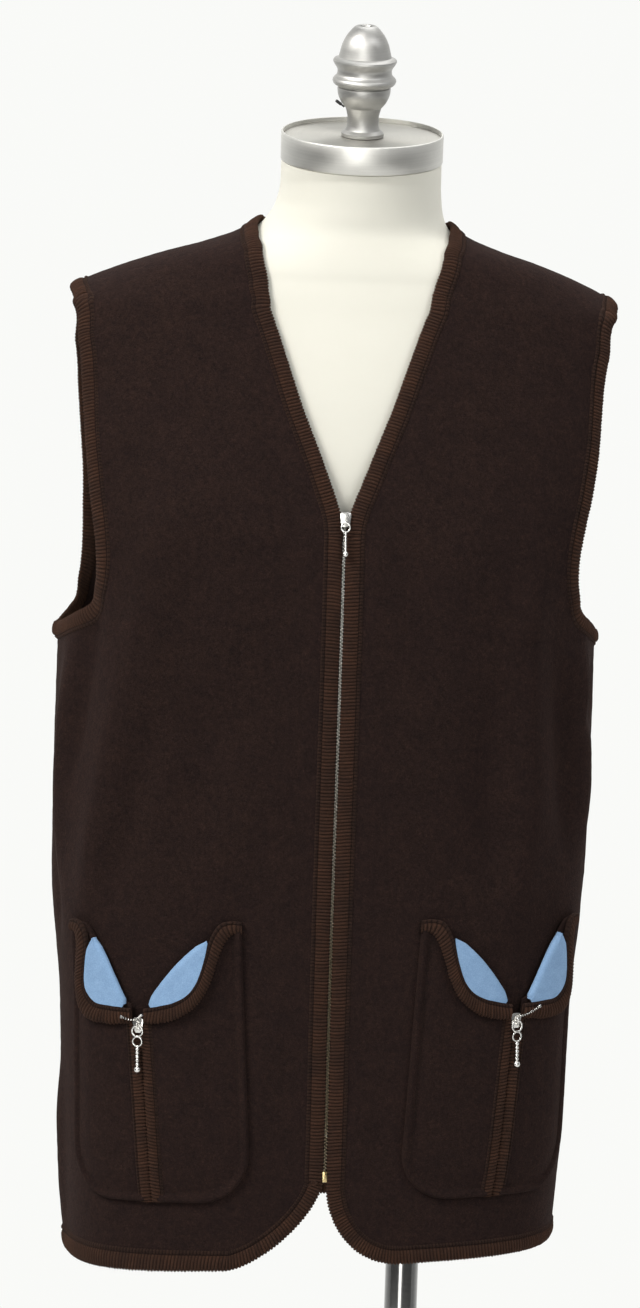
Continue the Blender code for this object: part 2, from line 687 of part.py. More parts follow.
def front_grid(name):
    """The front panel's places, from the hem up to the shoulder seam."""
    edge, upper, lower, hem = front_stations(name)
    loop, arm, _ = arm_stations()
    edge = within(CLOTH.inset(edge, PANEL_INSET), 0, SEAM)
    loop = within(closed_inset(loop, -PANEL_INSET), 0, SEAM)
    left = np.vstack([pick(edge, lower[::-1]), pick(edge, upper[::-1][1:])])
    left[-1, 0] = SEAM
    bottom = pick(edge, hem)
    bottom[-1, 0] = SEAM
    arm_border = pick(loop, arm[::-1])
    top_of_side = (SEAM, arm_border[0, 1])
    right = np.vstack([seam_line(bottom[-1], top_of_side, ROWS_BELOW), arm_border[1:]])
    right[-1, 0] = SEAM
    top = seam_line(left[-1], right[-1], FRONT_COLUMNS)
    return over_skin(bottom, top, left, right)


def back_grid():
    """The back panel's places, from the hem up to the shoulder seams and the back neck."""
    seam = math.pi - SEAM
    loop, _, arm = arm_stations()
    loop = within(closed_inset(loop, -PANEL_INSET), seam, math.pi)
    neck = within(CLOTH.inset(back_neck_edge(), -PANEL_INSET), seam, 2 * math.pi - seam)
    hem = within(CLOTH.inset(back_hem_edge(), PANEL_INSET), seam, 2 * math.pi - seam)
    neck = pick(neck, np.linspace(0, len(neck) - 1, NECK_COLUMNS + 1))
    hem = pick(hem, np.linspace(0, len(hem) - 1, BACK_COLUMNS + 1))
    neck[[0, -1], 0] = seam, 2 * math.pi - seam
    hem[[0, -1], 0] = seam, 2 * math.pi - seam
    arm_border = pick(loop, arm)
    left = np.vstack([seam_line(hem[0], (seam, arm_border[0, 1]), ROWS_BELOW), arm_border[1:]])
    left[-1, 0] = seam
    right = left * (-1, 1) + (2 * math.pi, 0)
    first = seam_line(left[-1], neck[0], SHOULDER_COLUMNS)
    last = first[::-1] * (-1, 1) + (2 * math.pi, 0)
    top = np.vstack([first, neck[1:-1], last])
    return over_skin(hem, top, left, right)


def make_panels(parts, finish):
    for name, side in SIDES:
        add_sheet("front_" + name, front_grid(name), 0.0, WALL, parts, finish["wool"], side)
    add_sheet("back", back_grid(), 0.0, WALL, parts, finish["wool"])


def add_trim(name, edge, inner, picks, limits, parts, finish, side=1.0):
    """An edging between a free edge and the panel's border, with its sections where the panel has its own."""
    grid = within(strip(pick(edge, picks), pick(inner, picks), TRIM_COLUMNS + 1), *limits)
    grid[0, :, 0], grid[-1, :, 0] = limits
    high = crown(len(grid), TRIM_COLUMNS + 1)
    add_sheet(name, grid, 0.0, high, parts, finish["edging"], side)


def make_trims(parts, finish):
    for name, side in SIDES:
        edge, upper, lower, hem = front_stations(name)
        inner = CLOTH.inset(edge, TRIM_WIDTH)
        picks = np.concatenate([upper, lower[1:], hem[1:]])
        grid = within(strip(pick(edge, picks), pick(inner, picks), TRIM_COLUMNS + 1), 0, SEAM)
        grid[[0, -1], :, 0] = SEAM
        high = crown(len(grid), TRIM_COLUMNS + 1)
        add_sheet(f"front_trim_{name}", grid, 0.0, high, parts, finish["edging"], side)
    limits = (math.pi - SEAM, math.pi + SEAM)
    neck = back_neck_edge()
    picks = np.linspace(0, len(neck) - 1, NECK_COLUMNS + 1)
    add_trim("neck_trim_back", neck, CLOTH.inset(neck, -TRIM_WIDTH), picks, limits, parts, finish)
    hem = back_hem_edge()
    picks = np.linspace(0, len(hem) - 1, BACK_COLUMNS + 1)
    add_trim("hem_trim_back", hem, CLOTH.inset(hem, TRIM_WIDTH), picks, limits, parts, finish)
    loop, front, back = arm_stations()
    picks = np.concatenate([front, back[1:-1]])
    grid = strip(pick(loop, picks), pick(closed_inset(loop, -TRIM_WIDTH), picks), TRIM_COLUMNS + 1)
    under_arm = CLOTH.points(SIDE_ANGLE, UNDERARM)
    knob = np.linalg.norm(CLOTH.points(grid[:, 0, 0], grid[:, 0, 1]) - under_arm, axis=1, keepdims=True)
    high = crown(len(grid), TRIM_COLUMNS + 1) + KNOB_RISE * np.exp(-((knob / KNOB_REACH) ** 2))
    for name, side in SIDES:
        add_sheet(f"armhole_trim_{name}", grid, 0.0, high, parts, finish["edging"], side, wrap=True)


def zip_run(across, rows, foot, head):
    """A straight strip beside the centre front: columns at the given distances from it."""
    heights = np.linspace(foot, head, rows)[:, None] + np.zeros(len(across))
    distance = np.zeros(heights.shape) + np.asarray(across)
    return np.stack([CLOTH.angle_at_side(np.abs(distance), heights) * np.sign(distance), heights], -1)


def make_zip(parts, finish):
    foot = ZIP_FOOT
    for name, side in SIDES:
        tape = zip_run((TEETH_HALF + SEAM_GAP, TEETH_HALF + TAPE_WIDTH), ZIP_ROWS, foot, ZIP_HEAD)
        add_sheet(f"zip_tape_{name}", tape, TAPE_INNER, TAPE_OUTER, parts, finish["tape"], side)
    teeth = zip_run((-TEETH_HALF, TEETH_HALF), ZIP_ROWS, foot + BOX_LENGTH + TOUCH_GAP, ZIP_HEAD)
    add_sheet("zip_teeth", teeth, TAPE_INNER, TEETH_OUTER, parts, finish["silver"])
    box = zip_run((-TEETH_HALF, TEETH_HALF), 2, foot, foot + BOX_LENGTH)
    add_sheet("zip_box", box, TAPE_INNER, TEETH_OUTER + BOX_RISE, parts, finish["silver"])


def pocket_lift(across, up):
    """How far the pocket stands off the front between its stitched sides and foot."""
    from_side = np.clip((POCKET_HALF - np.abs(across)) / BULGE_REACH, 0, 1)
    from_foot = np.clip(up / BULGE_REACH, 0, 1)
    return POCKET_BULGE * np.sin(from_side * SIDE_ANGLE) * np.sin(from_foot * SIDE_ANGLE)


def pocket_places(flat):
    """(across, up) of the flat pocket as (angle, height) on the left front."""
    height = POCKET_FOOT + flat[..., 1]
    arc = POCKET_CENTRE + flat[..., 0] + POCKET_LEAN * flat[..., 1]
    return np.stack([CLOTH.angle_at_arc(arc, height), height], -1)


def add_pocket_sheet(name, flat, low, high, parts, finish, side):
    lift = pocket_lift(flat[..., 0], flat[..., 1])
    return add_sheet(name, pocket_places(flat), low + lift, high + lift, parts, finish, side)


def evened(curve, count):
    """The curve of plane points at even steps of its length."""
    curve = np.asarray(curve, float)
    run = np.concatenate([[0], np.cumsum(np.linalg.norm(np.diff(curve, axis=0), axis=1))])
    at = np.linspace(0, run[-1], count)
    return np.stack([np.interp(at, run, curve[:, k]) for k in (0, 1)], 1)


def half_pocket_flat(which, half, columns_across=7, rows=9):
    """One half of the pocket from its slit band to its side, under the line where its lapel turns out."""
    turn = np.linspace(0, SIDE_ANGLE, 8)
    centre = FOOT_HALF[which] - POCKET_ROUND
    corner = np.stack([centre + POCKET_ROUND * np.sin(turn), POCKET_ROUND * (1 - np.cos(turn))], 1)
    brim = PATCH_TOP[which]
    right = evened(np.vstack([corner, brim[-1]]), rows + 1)
    start = np.array([brim[0][0], 0.0])
    left = evened([start, brim[0]], rows + 1)
    bottom = evened([start, right[0]], columns_across + 1)
    top = evened(brim, columns_across + 1)
    grid = across_rows(bottom, top, left, right)
    grid[..., 0] *= half
    return grid


def pair_grid(table, half, rows, count):
    """A grid between two lines of a pocket, which the table's rows give side by side."""
    table = np.asarray(table, float)
    first = spline(table[:, :2], rows)
    second = spline(table[:, 2:], rows)
    grid = strip(first, second, count)
    grid[..., 0] *= half
    return grid


def make_pocket_half(label, side, which, half, parts, finish):
    low = POCKET_LIFT
    add_pocket_sheet(label, half_pocket_flat(which, half), low, low + WALL, parts, finish["wool"], side)
    rows = 10
    band_up = np.linspace(0, SLIT_TOP, rows)[:, None] + np.zeros(TRIM_COLUMNS + 1)
    band_across = half * (SLIT_GAP + BAND_WIDTH * np.linspace(0, 1, TRIM_COLUMNS + 1)) + 0 * band_up
    band = np.stack([band_across, band_up], -1)
    high = low + crown(rows, TRIM_COLUMNS + 1)
    add_pocket_sheet(f"{label}_slit_trim", band, low, high, parts, finish["edging"], side)
    spring = LAPEL_SPRING * np.sin(np.linspace(0, math.pi, LAPEL_ROWS))[:, None]
    lapel = pair_grid(LAPEL[which], half, LAPEL_ROWS, 3)
    low = LAPEL_LIFT + spring * np.linspace(0, 0.7, 3)
    add_pocket_sheet(f"{label}_lapel", lapel, low, low + WALL, parts, finish["wool"], side)
    low = low + WALL + SEAM_GAP
    add_pocket_sheet(f"{label}_facing", lapel, low, low + FACING_WALL, parts, finish["felt"], side)
    edge = pair_grid(LAPEL_EDGE[which], half, LAPEL_ROWS + 2, TRIM_COLUMNS + 1)
    spring = LAPEL_SPRING * np.sin(np.linspace(-0.2, 1, LAPEL_ROWS + 2).clip(0) * math.pi)[:, None]
    low = LAPEL_LIFT + spring * np.linspace(0.7, 1.0, TRIM_COLUMNS + 1)
    high = low + crown(LAPEL_ROWS + 2, TRIM_COLUMNS + 1, LAPEL_EDGE_RISE)
    add_pocket_sheet(f"{label}_lapel_trim", edge, low, high, parts, finish["edging"], side)


def make_pockets(parts, finish):
    for name, side in SIDES:
        for which, half in HALVES:
            make_pocket_half(f"pocket_{name}_{which}", side, which, half, parts, finish)


def turned(name, profile, parts, finish, place, steps=36):
    """A turned solid: a profile of (height, radius) from foot to top, spun about its axis."""
    points = [(0.0, profile[0][0])] + [(r, z) for z, r in profile] + [(0.0, profile[-1][0])]
    bm = bmesh.new()
    line = [bm.verts.new((x, 0.0, z)) for x, z in points[::-1]]
    for first, second in zip(line, line[1:]):
        bm.edges.new((first, second))
    mesh = bpy.data.meshes.new(name)
    bm.to_mesh(mesh)
    bm.free()
    made = add_object(name, mesh, parts, finish)
    made.matrix_world = place
    screw = made.modifiers.new("Turn", "SCREW")
    screw.steps = steps
    screw.render_steps = steps
    screw.use_merge_vertices = True
    screw.merge_threshold = 1e-5
    screw.use_smooth_shade = True
    return made


def cap_place():
    """Where the neck cap sits: on the neck's cut top, which leans forward."""
    centre = float(FORM.ring("centre", np.array(NECK_TOP)))
    return Matrix.Translation((0.0, centre, NECK_TOP)) @ Matrix.Rotation(NECK_TILT, 4, "X")


def make_form(parts, finish):
    """The torso and its neck, from the flat underside up to the leaning top of the neck."""
    around = FORM_AROUND
    angle = np.linspace(0, 2 * math.pi, around, endpoint=False)
    rounding = ((0.000, 0.93), (0.003, 0.97), (0.010, 1.0))
    levels = [FORM_FOOT + rise for rise, _ in rounding]
    shrink = [share for _, share in rounding]
    upper = [0.75, 0.81, 0.87, 0.92, 0.97, 1.02, 1.07, 1.13, 1.19, 1.24, 1.285, 1.318, 1.338, 1.350,
             1.361, 1.372, 1.380, 1.386, 1.391, 1.3965, 1.403, 1.415, 1.429]
    bm = bmesh.new()
    rings = []
    for height, share in zip(levels + upper, shrink + [1.0] * len(upper)):
        place = FORM.points(angle, np.full(around, height))
        middle = place.mean(axis=0)
        rings.append([bm.verts.new(Vector(middle + (p - middle) * (share, share, 1.0))) for p in place])
    seat = cap_place()
    top = [(NECK_SEAT_RADIUS * math.sin(a), -NECK_SEAT_RADIUS * math.cos(a), -TOUCH_GAP) for a in angle]
    rings.append([bm.verts.new(seat @ Vector(place)) for place in top])
    for first, second in zip(rings, rings[1:]):
        for i in range(around):
            j = (i + 1) % around
            bm.faces.new((first[i], first[j], second[j], second[i]))
    bm.faces.new(rings[0])
    bm.faces.new(rings[-1])
    add_object("torso_form", mesh_of("torso_form", bm), parts, finish["jersey"])


def make_cap(parts, finish):
    """The metal rim, the cloth-covered top inside it, the finial and its clamping screw."""
    seat = cap_place()
    edge = 0.0008
    inside = CAP_RADIUS - CAP_RIM_WALL
    top = CAP_HEIGHT - CAP_RECESS
    floor = top - CAP_TOP_WALL
    rim = (
        (0.0, CAP_RADIUS - edge),
        (edge, CAP_RADIUS),
        (CAP_HEIGHT - edge, CAP_RADIUS),
        (CAP_HEIGHT, CAP_RADIUS - edge),
        (CAP_HEIGHT, inside),
        (floor, inside),
    )
    turned("neck_cap_rim", rim, parts, finish["steel"], seat, 40)
    lining = ((floor + TOUCH_GAP, inside - TOUCH_GAP), (top, inside - TOUCH_GAP))
    turned("neck_cap_top", lining, parts, finish["jersey"], seat, 40)
    foot = seat @ Matrix.Translation((0, 0, top + TOUCH_GAP))
    turned("finial", FINIAL, parts, finish["steel"], foot, 20)
    bm = bmesh.new()
    bmesh.ops.create_cone(bm, cap_ends=True, segments=10, radius1=0.0016, radius2=0.0012, depth=SCREW_LENGTH)
    screw = add_object("finial_screw", mesh_of("finial_screw", bm), parts, finish["black"])
    reach = SCREW_START + TOUCH_GAP + SCREW_LENGTH / 2
    screw.matrix_world = foot @ Matrix.Translation((-reach, 0, SCREW_HEIGHT)) @ Matrix.Rotation(-SIDE_ANGLE, 4, "Y")


def make_stand(parts, finish):
    """A round base with a hub beside its centre, and the pole that carries the torso."""
    bm = bmesh.new()
    bmesh.ops.create_cone(
        bm, cap_ends=True, segments=48, radius1=BASE_RADIUS, radius2=BASE_RADIUS, depth=BASE_HEIGHT
    )
    base = add_object("base", mesh_of("base", bm), parts, finish["steel"])
    base.location = (0, 0, BASE_HEIGHT / 2)
    bevel = base.modifiers.new("Rim", "BEVEL")
    bevel.width = 0.003
    bevel.segments = 2
    bevel.limit_method = "ANGLE"
    hub_profile = (
        (BASE_HEIGHT + TOUCH_GAP, HUB_RADIUS + 0.010),
        (BASE_HEIGHT + 0.004, HUB_RADIUS + 0.009),
        (BASE_HEIGHT + 0.008, HUB_RADIUS - 0.006),
        (HUB_HEIGHT, HUB_RADIUS - 0.009),
    )
    place = Matrix.Translation((POLE_ACROSS, 0, 0))
    turned("pole_hub", hub_profile, parts, finish["steel"], place, 24)
    pole = ((HUB_HEIGHT + TOUCH_GAP, POLE_RADIUS), (FORM_FOOT - TOUCH_GAP, POLE_RADIUS))
    turned("pole", pole, parts, finish["steel"], place, 24)


def union(target, others):
    """Joins closed shapes into the target and removes them."""
    for other in others:
        join = target.modifiers.new("Join", "BOOLEAN")
        join.operation = "UNION"
        join.object = other
        join.solver = "EXACT"
        bpy.context.view_layer.update()
        solid = bpy.data.meshes.new_from_object(target.evaluated_get(bpy.context.evaluated_depsgraph_get()))
        target.modifiers.clear()
        target.data = solid
        bpy.data.objects.remove(other)
    target.data.shade_smooth()
    target.data.set_sharp_from_angle(angle=math.radians(40))
    return target


def helper(name, bm, parts, finish, place):
    made = add_object(name, mesh_of(name, bm), parts, finish)
    made.matrix_world = place
    return made


def box_shape(size):
    bm = bmesh.new()
    bmesh.ops.create_cube(bm, size=1.0, matrix=Matrix.Diagonal((*size, 1.0)))
    return bm


def ball_shape(radius, segments=8):
    bm = bmesh.new()
    bmesh.ops.create_uvsphere(bm, u_segments=segments, v_segments=segments // 2 + 1, radius=radius)
    return bm


def ring_shape(radius, wire, segments=12, sides=6):
    """A torus in the XY plane."""
    bm = bmesh.new()
    rows = []
    for i in range(segments):
        a = 2 * math.pi * i / segments
        row = []
        for k in range(sides):
            b = 2 * math.pi * k / sides
            r = radius + wire * math.cos(b)
            row.append(bm.verts.new((r * math.cos(a), r * math.sin(a), wire * math.sin(b))))
        rows.append(row + row[:1])
    grid_faces(bm, rows, True)
    return bm


def slider_place(angle, height, side, distance):
    """Axes at a place outside the skin: across, up along the cloth, and out of it."""
    angle = side * angle
    out = Vector(CLOTH.normals(angle, height))
    across = Vector(CLOTH.slopes(angle, height)[0]).normalized()
    up = out.cross(across).normalized()
    origin = Vector(CLOTH.points(angle, height)) + out * distance
    place = Matrix((across, up, out)).transposed().to_4x4()
    place.translation = origin
    return place


def make_slider(name, place, stem, bail_drop, parts, finish):
    """A slider: its plate, the stem that reaches through the slot to the teeth, and the arch for the ring."""
    plate = helper(name, box_shape((SLIDER_WIDTH, SLIDER_LENGTH, SLIDER_PLATE)), parts, finish, place)
    plate.data.transform(Matrix.Translation((0, 0, SLIDER_PLATE / 2)))
    bits = []
    if stem > 0:
        stem_place = place @ Matrix.Translation((0, 0, (SLIDER_PLATE - stem) / 2))
        stem_size = (STEM_WIDTH, STEM_LENGTH, stem + SLIDER_PLATE / 2)
        bits.append(helper(name + "_stem", box_shape(stem_size), parts, finish, stem_place))
    arch_place = place @ Matrix.Translation((0, -bail_drop, ARCH_HEIGHT)) @ Matrix.Rotation(SIDE_ANGLE, 4, "Y")
    bits.append(helper(name + "_arch", ring_shape(BAIL_RADIUS, BAIL_WIRE), parts, finish, arch_place))
    return union(plate, bits)


def make_pull(name, place, bail_drop, chain, parts, finish):
    """A pull that hangs on the slider's arch: rings, a beaded stem and a ball, one below another."""
    pivot = place @ Matrix.Translation((0, -bail_drop, PIVOT_HEIGHT))
    bits = []
    drop = 0.0
    for index, (kind, size, overlap) in enumerate(chain):
        top = drop - overlap
        if kind == "ring":
            reach = size + RING_WIRE
            shape = ring_shape(size, RING_WIRE)
        else:
            reach = size
            shape = ball_shape(size, BEAD_SIDES)
        centre = top + (size if index == 0 else reach)
        bit_place = pivot @ Matrix.Translation((0, -centre, 0))
        bits.append(helper(name if index == 0 else f"{name}_{index}", shape, parts, finish, bit_place))
        drop = centre + reach
    return union(bits[0], bits[1:])


def make_fasteners(parts, finish):
    """The three sliders with their pulls, and the short zip inside each pocket's slit."""
    front_distance = TRIM_RISE + SLIDER_CLEARANCE
    place = slider_place(0.0, SLIDER_HEIGHT, 1.0, front_distance)
    stem = front_distance - TEETH_OUTER - TOUCH_GAP
    make_slider("zip_slider", place, stem, FRONT_BAIL_DROP, parts, finish["silver"])
    make_pull("zip_pull", place, FRONT_BAIL_DROP, FRONT_CHAIN, parts, finish["silver"])
    for name, side in SIDES:
        up = SLIT_TOP - SLIDER_BELOW_SLIT_TOP
        spot = pocket_places(np.array([0.0, up]))
        distance = POCKET_LIFT + TRIM_RISE + float(pocket_lift(0.0, up)) + SLIDER_CLEARANCE
        place = slider_place(float(spot[0]), float(spot[1]), side, distance)
        make_slider(f"pocket_{name}_slider", place, 0.0, 0.0, parts, finish["silver"])
        make_pull(f"pocket_{name}_pull", place, 0.0, POCKET_CHAIN, parts, finish["silver"])


def main():
    for existing in list(bpy.data.objects):
        bpy.data.objects.remove(existing)
    parts = bpy.data.collections.new(COLLECTION)
    bpy.context.scene.collection.children.link(parts)
    finish = make_materials()
    make_panels(parts, finish)
    make_trims(parts, finish)
    make_zip(parts, finish)
    make_pockets(parts, finish)
    make_form(parts, finish)
    make_cap(parts, finish)
    make_stand(parts, finish)
    make_fasteners(parts, finish)


main()
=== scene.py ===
"""The wool vest on its dress form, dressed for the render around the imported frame.

Metres, +Z up. The front faces -Y and the wearer's left is +X. A place on the cloth is (angle, height) on one
skin of stacked rings, as in the CAD source, whose tables and surface functions are repeated here more finely.
"""

import math
import random

import bmesh
import bpy
import numpy as np
from mathutils import Matrix, Vector, noise


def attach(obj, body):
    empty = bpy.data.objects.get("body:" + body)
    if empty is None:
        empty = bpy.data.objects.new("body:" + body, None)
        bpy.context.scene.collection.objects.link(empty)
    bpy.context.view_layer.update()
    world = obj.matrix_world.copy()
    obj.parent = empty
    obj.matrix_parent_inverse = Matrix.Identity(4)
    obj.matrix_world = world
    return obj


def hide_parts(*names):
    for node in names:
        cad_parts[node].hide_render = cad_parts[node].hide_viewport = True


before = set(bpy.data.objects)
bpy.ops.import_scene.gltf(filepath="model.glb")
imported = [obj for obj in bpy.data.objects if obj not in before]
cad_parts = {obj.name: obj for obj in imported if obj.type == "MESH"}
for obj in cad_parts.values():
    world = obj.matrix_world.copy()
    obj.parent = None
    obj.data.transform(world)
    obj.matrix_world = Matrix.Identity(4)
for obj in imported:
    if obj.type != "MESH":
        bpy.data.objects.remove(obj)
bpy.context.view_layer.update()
noise.seed_set(5)

# Cloth and its edging
WALL = 0.0020
TRIM_WIDTH = 0.0130
KNOB_RISE = 0.0030
KNOB_REACH = 0.0100
RIB_PITCH = 0.0026
RIB_ROWS = 6
RIB_LEAN = 0.45
BEND_RIBS = 7
BEND_SHARES = (-1.0, 1.2)
RIB_SIZES = (0.8, 1.15)
RIB_FULLNESS = 0.7
PANEL_INSET = 0.0060
SEAM_DIP = 0.0007
SEAM_REACH = 0.0022
SHOULDER_LEVELS = (1.340, 1.350)
SHOULDER_RUN = 0.35
FELTING = 0.00022
PATCH_FELTING = 0.00016
FELT_ROUGHNESS = (0.0001, 0.003)

# Heights of the vest
HEM = 0.606
BACK_HEM = 0.617
ZIP_FOOT = 0.671
UNDERARM = 1.087
SHOULDER_TIP = 1.344
NECK_POINT = 1.403

# Front zip
ZIP_SLOT = 0.0022
ZIP_HEAD = 1.1755
SLIDER_HEIGHT = 1.1735
TAPE_WIDTH = 0.0130
TAPE_OUTER = -0.0006
TAPE_INNER = -0.0016
TEETH_HALF = 0.0018
TOOTH_PITCH = 0.0026
END_TOOTH_PITCH = 0.0016
FIRST_TOOTH = 0.0007
TEETH_LEVEL = -0.0002
END_TOOTH = (0.0009, 0.0023, 0.0016)
END_STOP = (0.0020, 0.0026, 0.0020)
WORN_EDGE = 0.0003
BOX_LENGTH = 0.0082
TRIM_RISE = 0.0030

# A tooth's head and clamp, and the two parts of the box at the zip's foot: size, how far off the row's middle
# across for a tooth or up for the box, and worn edge
TOOTH = (((0.0011, 0.0006, 0.0013), -0.0002, 0.0002), ((0.0012, 0.0012, 0.0027), 0.0007, 0.0003))
BOX = (((0.0036, BOX_LENGTH, 0.0034), 0.0, 0.0005), ((0.0022, 0.0028, 0.0040), 0.0018, 0.0004))

# Pocket, in its own flat measures: across from its slit, up from its foot
POCKET_FOOT = 0.656
POCKET_CENTRE = 0.1300
POCKET_LEAN = 0.090
POCKET_HALF = 0.0755
POCKET_ROUND = 0.0400
SLIT_TOP = 0.1366
SLIT_GAP = 0.0006
BAND_WIDTH = 0.0090
POCKET_LIFT = 0.0033
POCKET_BULGE = 0.0020
BULGE_REACH = 0.0500
LAPEL_LIFT = 0.0059
LAPEL_SPRING = 0.0030
LAPEL_END_SINK = 0.0034
LAPEL_END_REACH = 0.0200
LAPEL_TRIM_WIDTH = 0.0098
LAPEL_TRIM_EXTRA = 0.0008
LAPEL_ROWS = 60
FULL_ROLL_WIDTH = 0.0080
SMALLEST_ROLL = 0.30
ROLL_MIDDLE = 0.0062
FACING_WALL = 0.0010
SLIDER_BELOW_SLIT_TOP = 0.0010
PATCH_SEWN = 0.00205
POCKET_EDGE_ROUND = 0.0019
POCKET_EDGE_WALL = 0.0042
POCKET_COLUMNS = (26, 14, 0.14)
POCKET_ROWS = (56, 14, 0.06)
BRIM_DROP = 0.0030
SLIT_FOOT_SINK = 0.0010
SLIT_FOOT_REACH = 0.0200
STITCH_INSET = 0.0070
STITCH_SINK = 0.0004
STITCH_DIP_REACH = 0.0009
STITCH_LENGTH = 0.0026
STITCH_PITCH = 0.0036
STITCH_RADIUS = 0.00032
STITCH_FOOT = 0.0200

# Distances from a pocket's border over which it rises from where it is sewn, takes its own lift, and thins
# from its edge to the plain wall
SEWN_REACH = (0.006, 0.022)
LIFT_REACH = (0.0, 0.010)
EDGE_REACH = (0.0025, 0.0090)

# Shares of a lapel's width where the columns of its facing and its wool lie: first, last and count
FACING_SHARES = (0.18, 1.04, 8)
LAPEL_SHARES = (0.04, 0.98, 8)

# A stitch: share of its length, rise over the cloth, and share of its full radius
STITCH = (
    (0.0, -0.0003, 0.5), (0.12, 0.0001, 0.9), (0.5, 0.00022, 1.0), (0.88, 0.0001, 0.9),
    (1.0, -0.0003, 0.5),
)

# The facing's roll over a lapel's fold, from behind the patch to the flat: offset from the fold, and distance
# outside the front's inner face
ROLL = (
    (0.0050, 0.0031), (0.0020, 0.0031), (0.0000, 0.0032), (-0.0012, 0.0038), (-0.0020, 0.0050),
    (-0.0022, 0.0064), (-0.0016, 0.0078), (-0.0004, 0.0087), (0.0012, 0.0092),
)

# Form, neck cap and stand
FORM_FOOT = 0.700
NECK_TOP = 1.4487
NECK_TILT = math.radians(14.0)
CAP_RADIUS = 0.0628
CAP_HEIGHT = 0.0220
CAP_RIM_WALL = 0.0015
CAP_RECESS = 0.0035
NECK_SEAT_RADIUS = 0.0620
TORSO_LEVELS = (0.722, 1.32, 60)
NECK_LEVELS = (1.326, 1.429, 46)
POLE_RADIUS = 0.0129
POLE_ACROSS = 0.0610
BASE_RADIUS = 0.2300
BASE_HEIGHT = 0.0140
BASE_ROUND = 0.0030
HUB_RADIUS = 0.0300
HUB_HEIGHT = 0.0480
TOUCH_GAP = 0.0003
SCREW_HEIGHT = 0.0240
SCREW_START = 0.0170
SCREW_LEAN = math.radians(54.0)
SCREW_OUT = 0.0018
SCREW_UP = 0.0012

# Profiles from below: height and radius of the screw's lever, height over the base and width beyond the hub's
# radius, and height over the form's foot and share of its ring
SCREW = (
    (-0.0050, 0.0007), (-0.0022, 0.0007), (-0.0020, 0.0010), (-0.0016, 0.0012), (0.0026, 0.0012),
    (0.0031, 0.0010), (0.0033, 0.0007),
)
HUB_FOOT = (
    (TOUCH_GAP, 0.0096), (0.0006, 0.0100), (0.0034, 0.0096), (0.0050, 0.0070), (0.0064, 0.0010),
    (0.0080, -0.0050), (0.0110, -0.0066), (0.0160, -0.0076),
)
FORM_ROUNDING = ((0.000, 0.93), (0.001, 0.955), (0.003, 0.975), (0.006, 0.991), (0.010, 1.0))

# Slider and pull, in the slider's own axes: X across, Y up the zip, Z out of the cloth
SLIDER_WIDTH = 0.0085
SLIDER_LENGTH = 0.0115
SLIDER_PLATE = 0.0014
BAIL_RADIUS = 0.0026
BAIL_WIRE = 0.0006
FRONT_BAIL_DROP = 0.0030
RING_WIRE = 0.0007
ARCH_HEIGHT = SLIDER_PLATE + 0.0002
PIVOT_HEIGHT = ARCH_HEIGHT + BAIL_RADIUS - BAIL_WIRE - RING_WIRE - 0.0003
LINK_OVERLAP = 0.0003
SLIDER_CLEARANCE = 0.0004
PLATE_EDGE = 0.0004
STEM = (0.0026, 0.0060)
WING = (0.0010, SLIDER_LENGTH * 0.62, 0.0016)
WING_PLACE = (SLIDER_WIDTH / 2 - 0.0009, 0.0008, 0.0001)
COLLAR = (0.00055, 0.0004)

# A pull's links, from the slider down: kind, radius, and how far it reaches over the one above
FRONT_CHAIN = (
    ("ring", 0.0033, 0.0),
    *[("ball", 0.0013, LINK_OVERLAP)] * 6,
    ("ball", 0.0025, LINK_OVERLAP),
)
POCKET_CHAIN = (
    ("ring", 0.0042, 0.0), ("ring", 0.0036, 0.0012),
    *[("ball", 0.0016, LINK_OVERLAP)] * 5,
    ("ball", 0.0027, LINK_OVERLAP),
)

# The right half of a slider's plate, from the middle of its top to that of its foot, as shares of its size
SLIDER_SHIELD = (
    (0.0, 0.50), (0.22, 0.50), (0.46, 0.42), (0.50, 0.22), (0.42, -0.10), (0.34, -0.38), (0.20, -0.50),
    (0.0, -0.50),
)

# How finely the cloth is divided
FRONT_COLUMNS = 44
SHOULDER_COLUMNS = 22
NECK_COLUMNS = 36
BACK_COLUMNS = 2 * SHOULDER_COLUMNS + NECK_COLUMNS
ROWS_BELOW = 96
ROWS_ABOVE = 76

# Stage. The cards stand round it, and only glossy reflections see them: the angles from the front where each
# starts and ends, and its own light. The narrow bright one gives the metal its upright streak.
CARDS = ((-84.0, -20.0, 0.0), (-17.0, 0.5, 4.5), (9.0, 74.0, 0.0))
FLOOR_RADIUS = 2.3
CARD_RADIUS = 3.0
CARD_FOOT = -1.5
CARD_TOP = 3.2
ROOM_GREY = (0.33, 0.33, 0.326)
ROOM_PALE = (0.95, 0.955, 0.935)
CAMERA_PLACE = (-0.0195, -3.4, 1.29)
CAMERA_DOWN = 3.8
CAMERA_ROLL = 1.9
CAMERA_LENS = 119.97

# Area lights: name, place, aim, size, power and colour
LIGHTS = (
    ("key", (-2.1, -1.9, 3.2), (0, 0, 1.20), 1.4, 108.0, (1.0, 0.985, 0.96)),
    ("fill", (2.2, -2.4, 2.9), (0, 0, 1.2), 2.0, 45.0, (0.98, 0.985, 1.0)),
    ("top", (0.3, 0.2, 3.6), (0, 0, 1.1), 2.0, 25.0, (1.0, 1.0, 1.0)),
    ("rim_left", (-2.4, 2.2, 2.2), (0, 0, 1.1), 1.6, 26.0, (1.0, 1.0, 1.0)),
    ("rim_right", (2.4, 2.2, 1.8), (0, 0, 1.1), 1.6, 26.0, (1.0, 1.0, 1.0)),
)

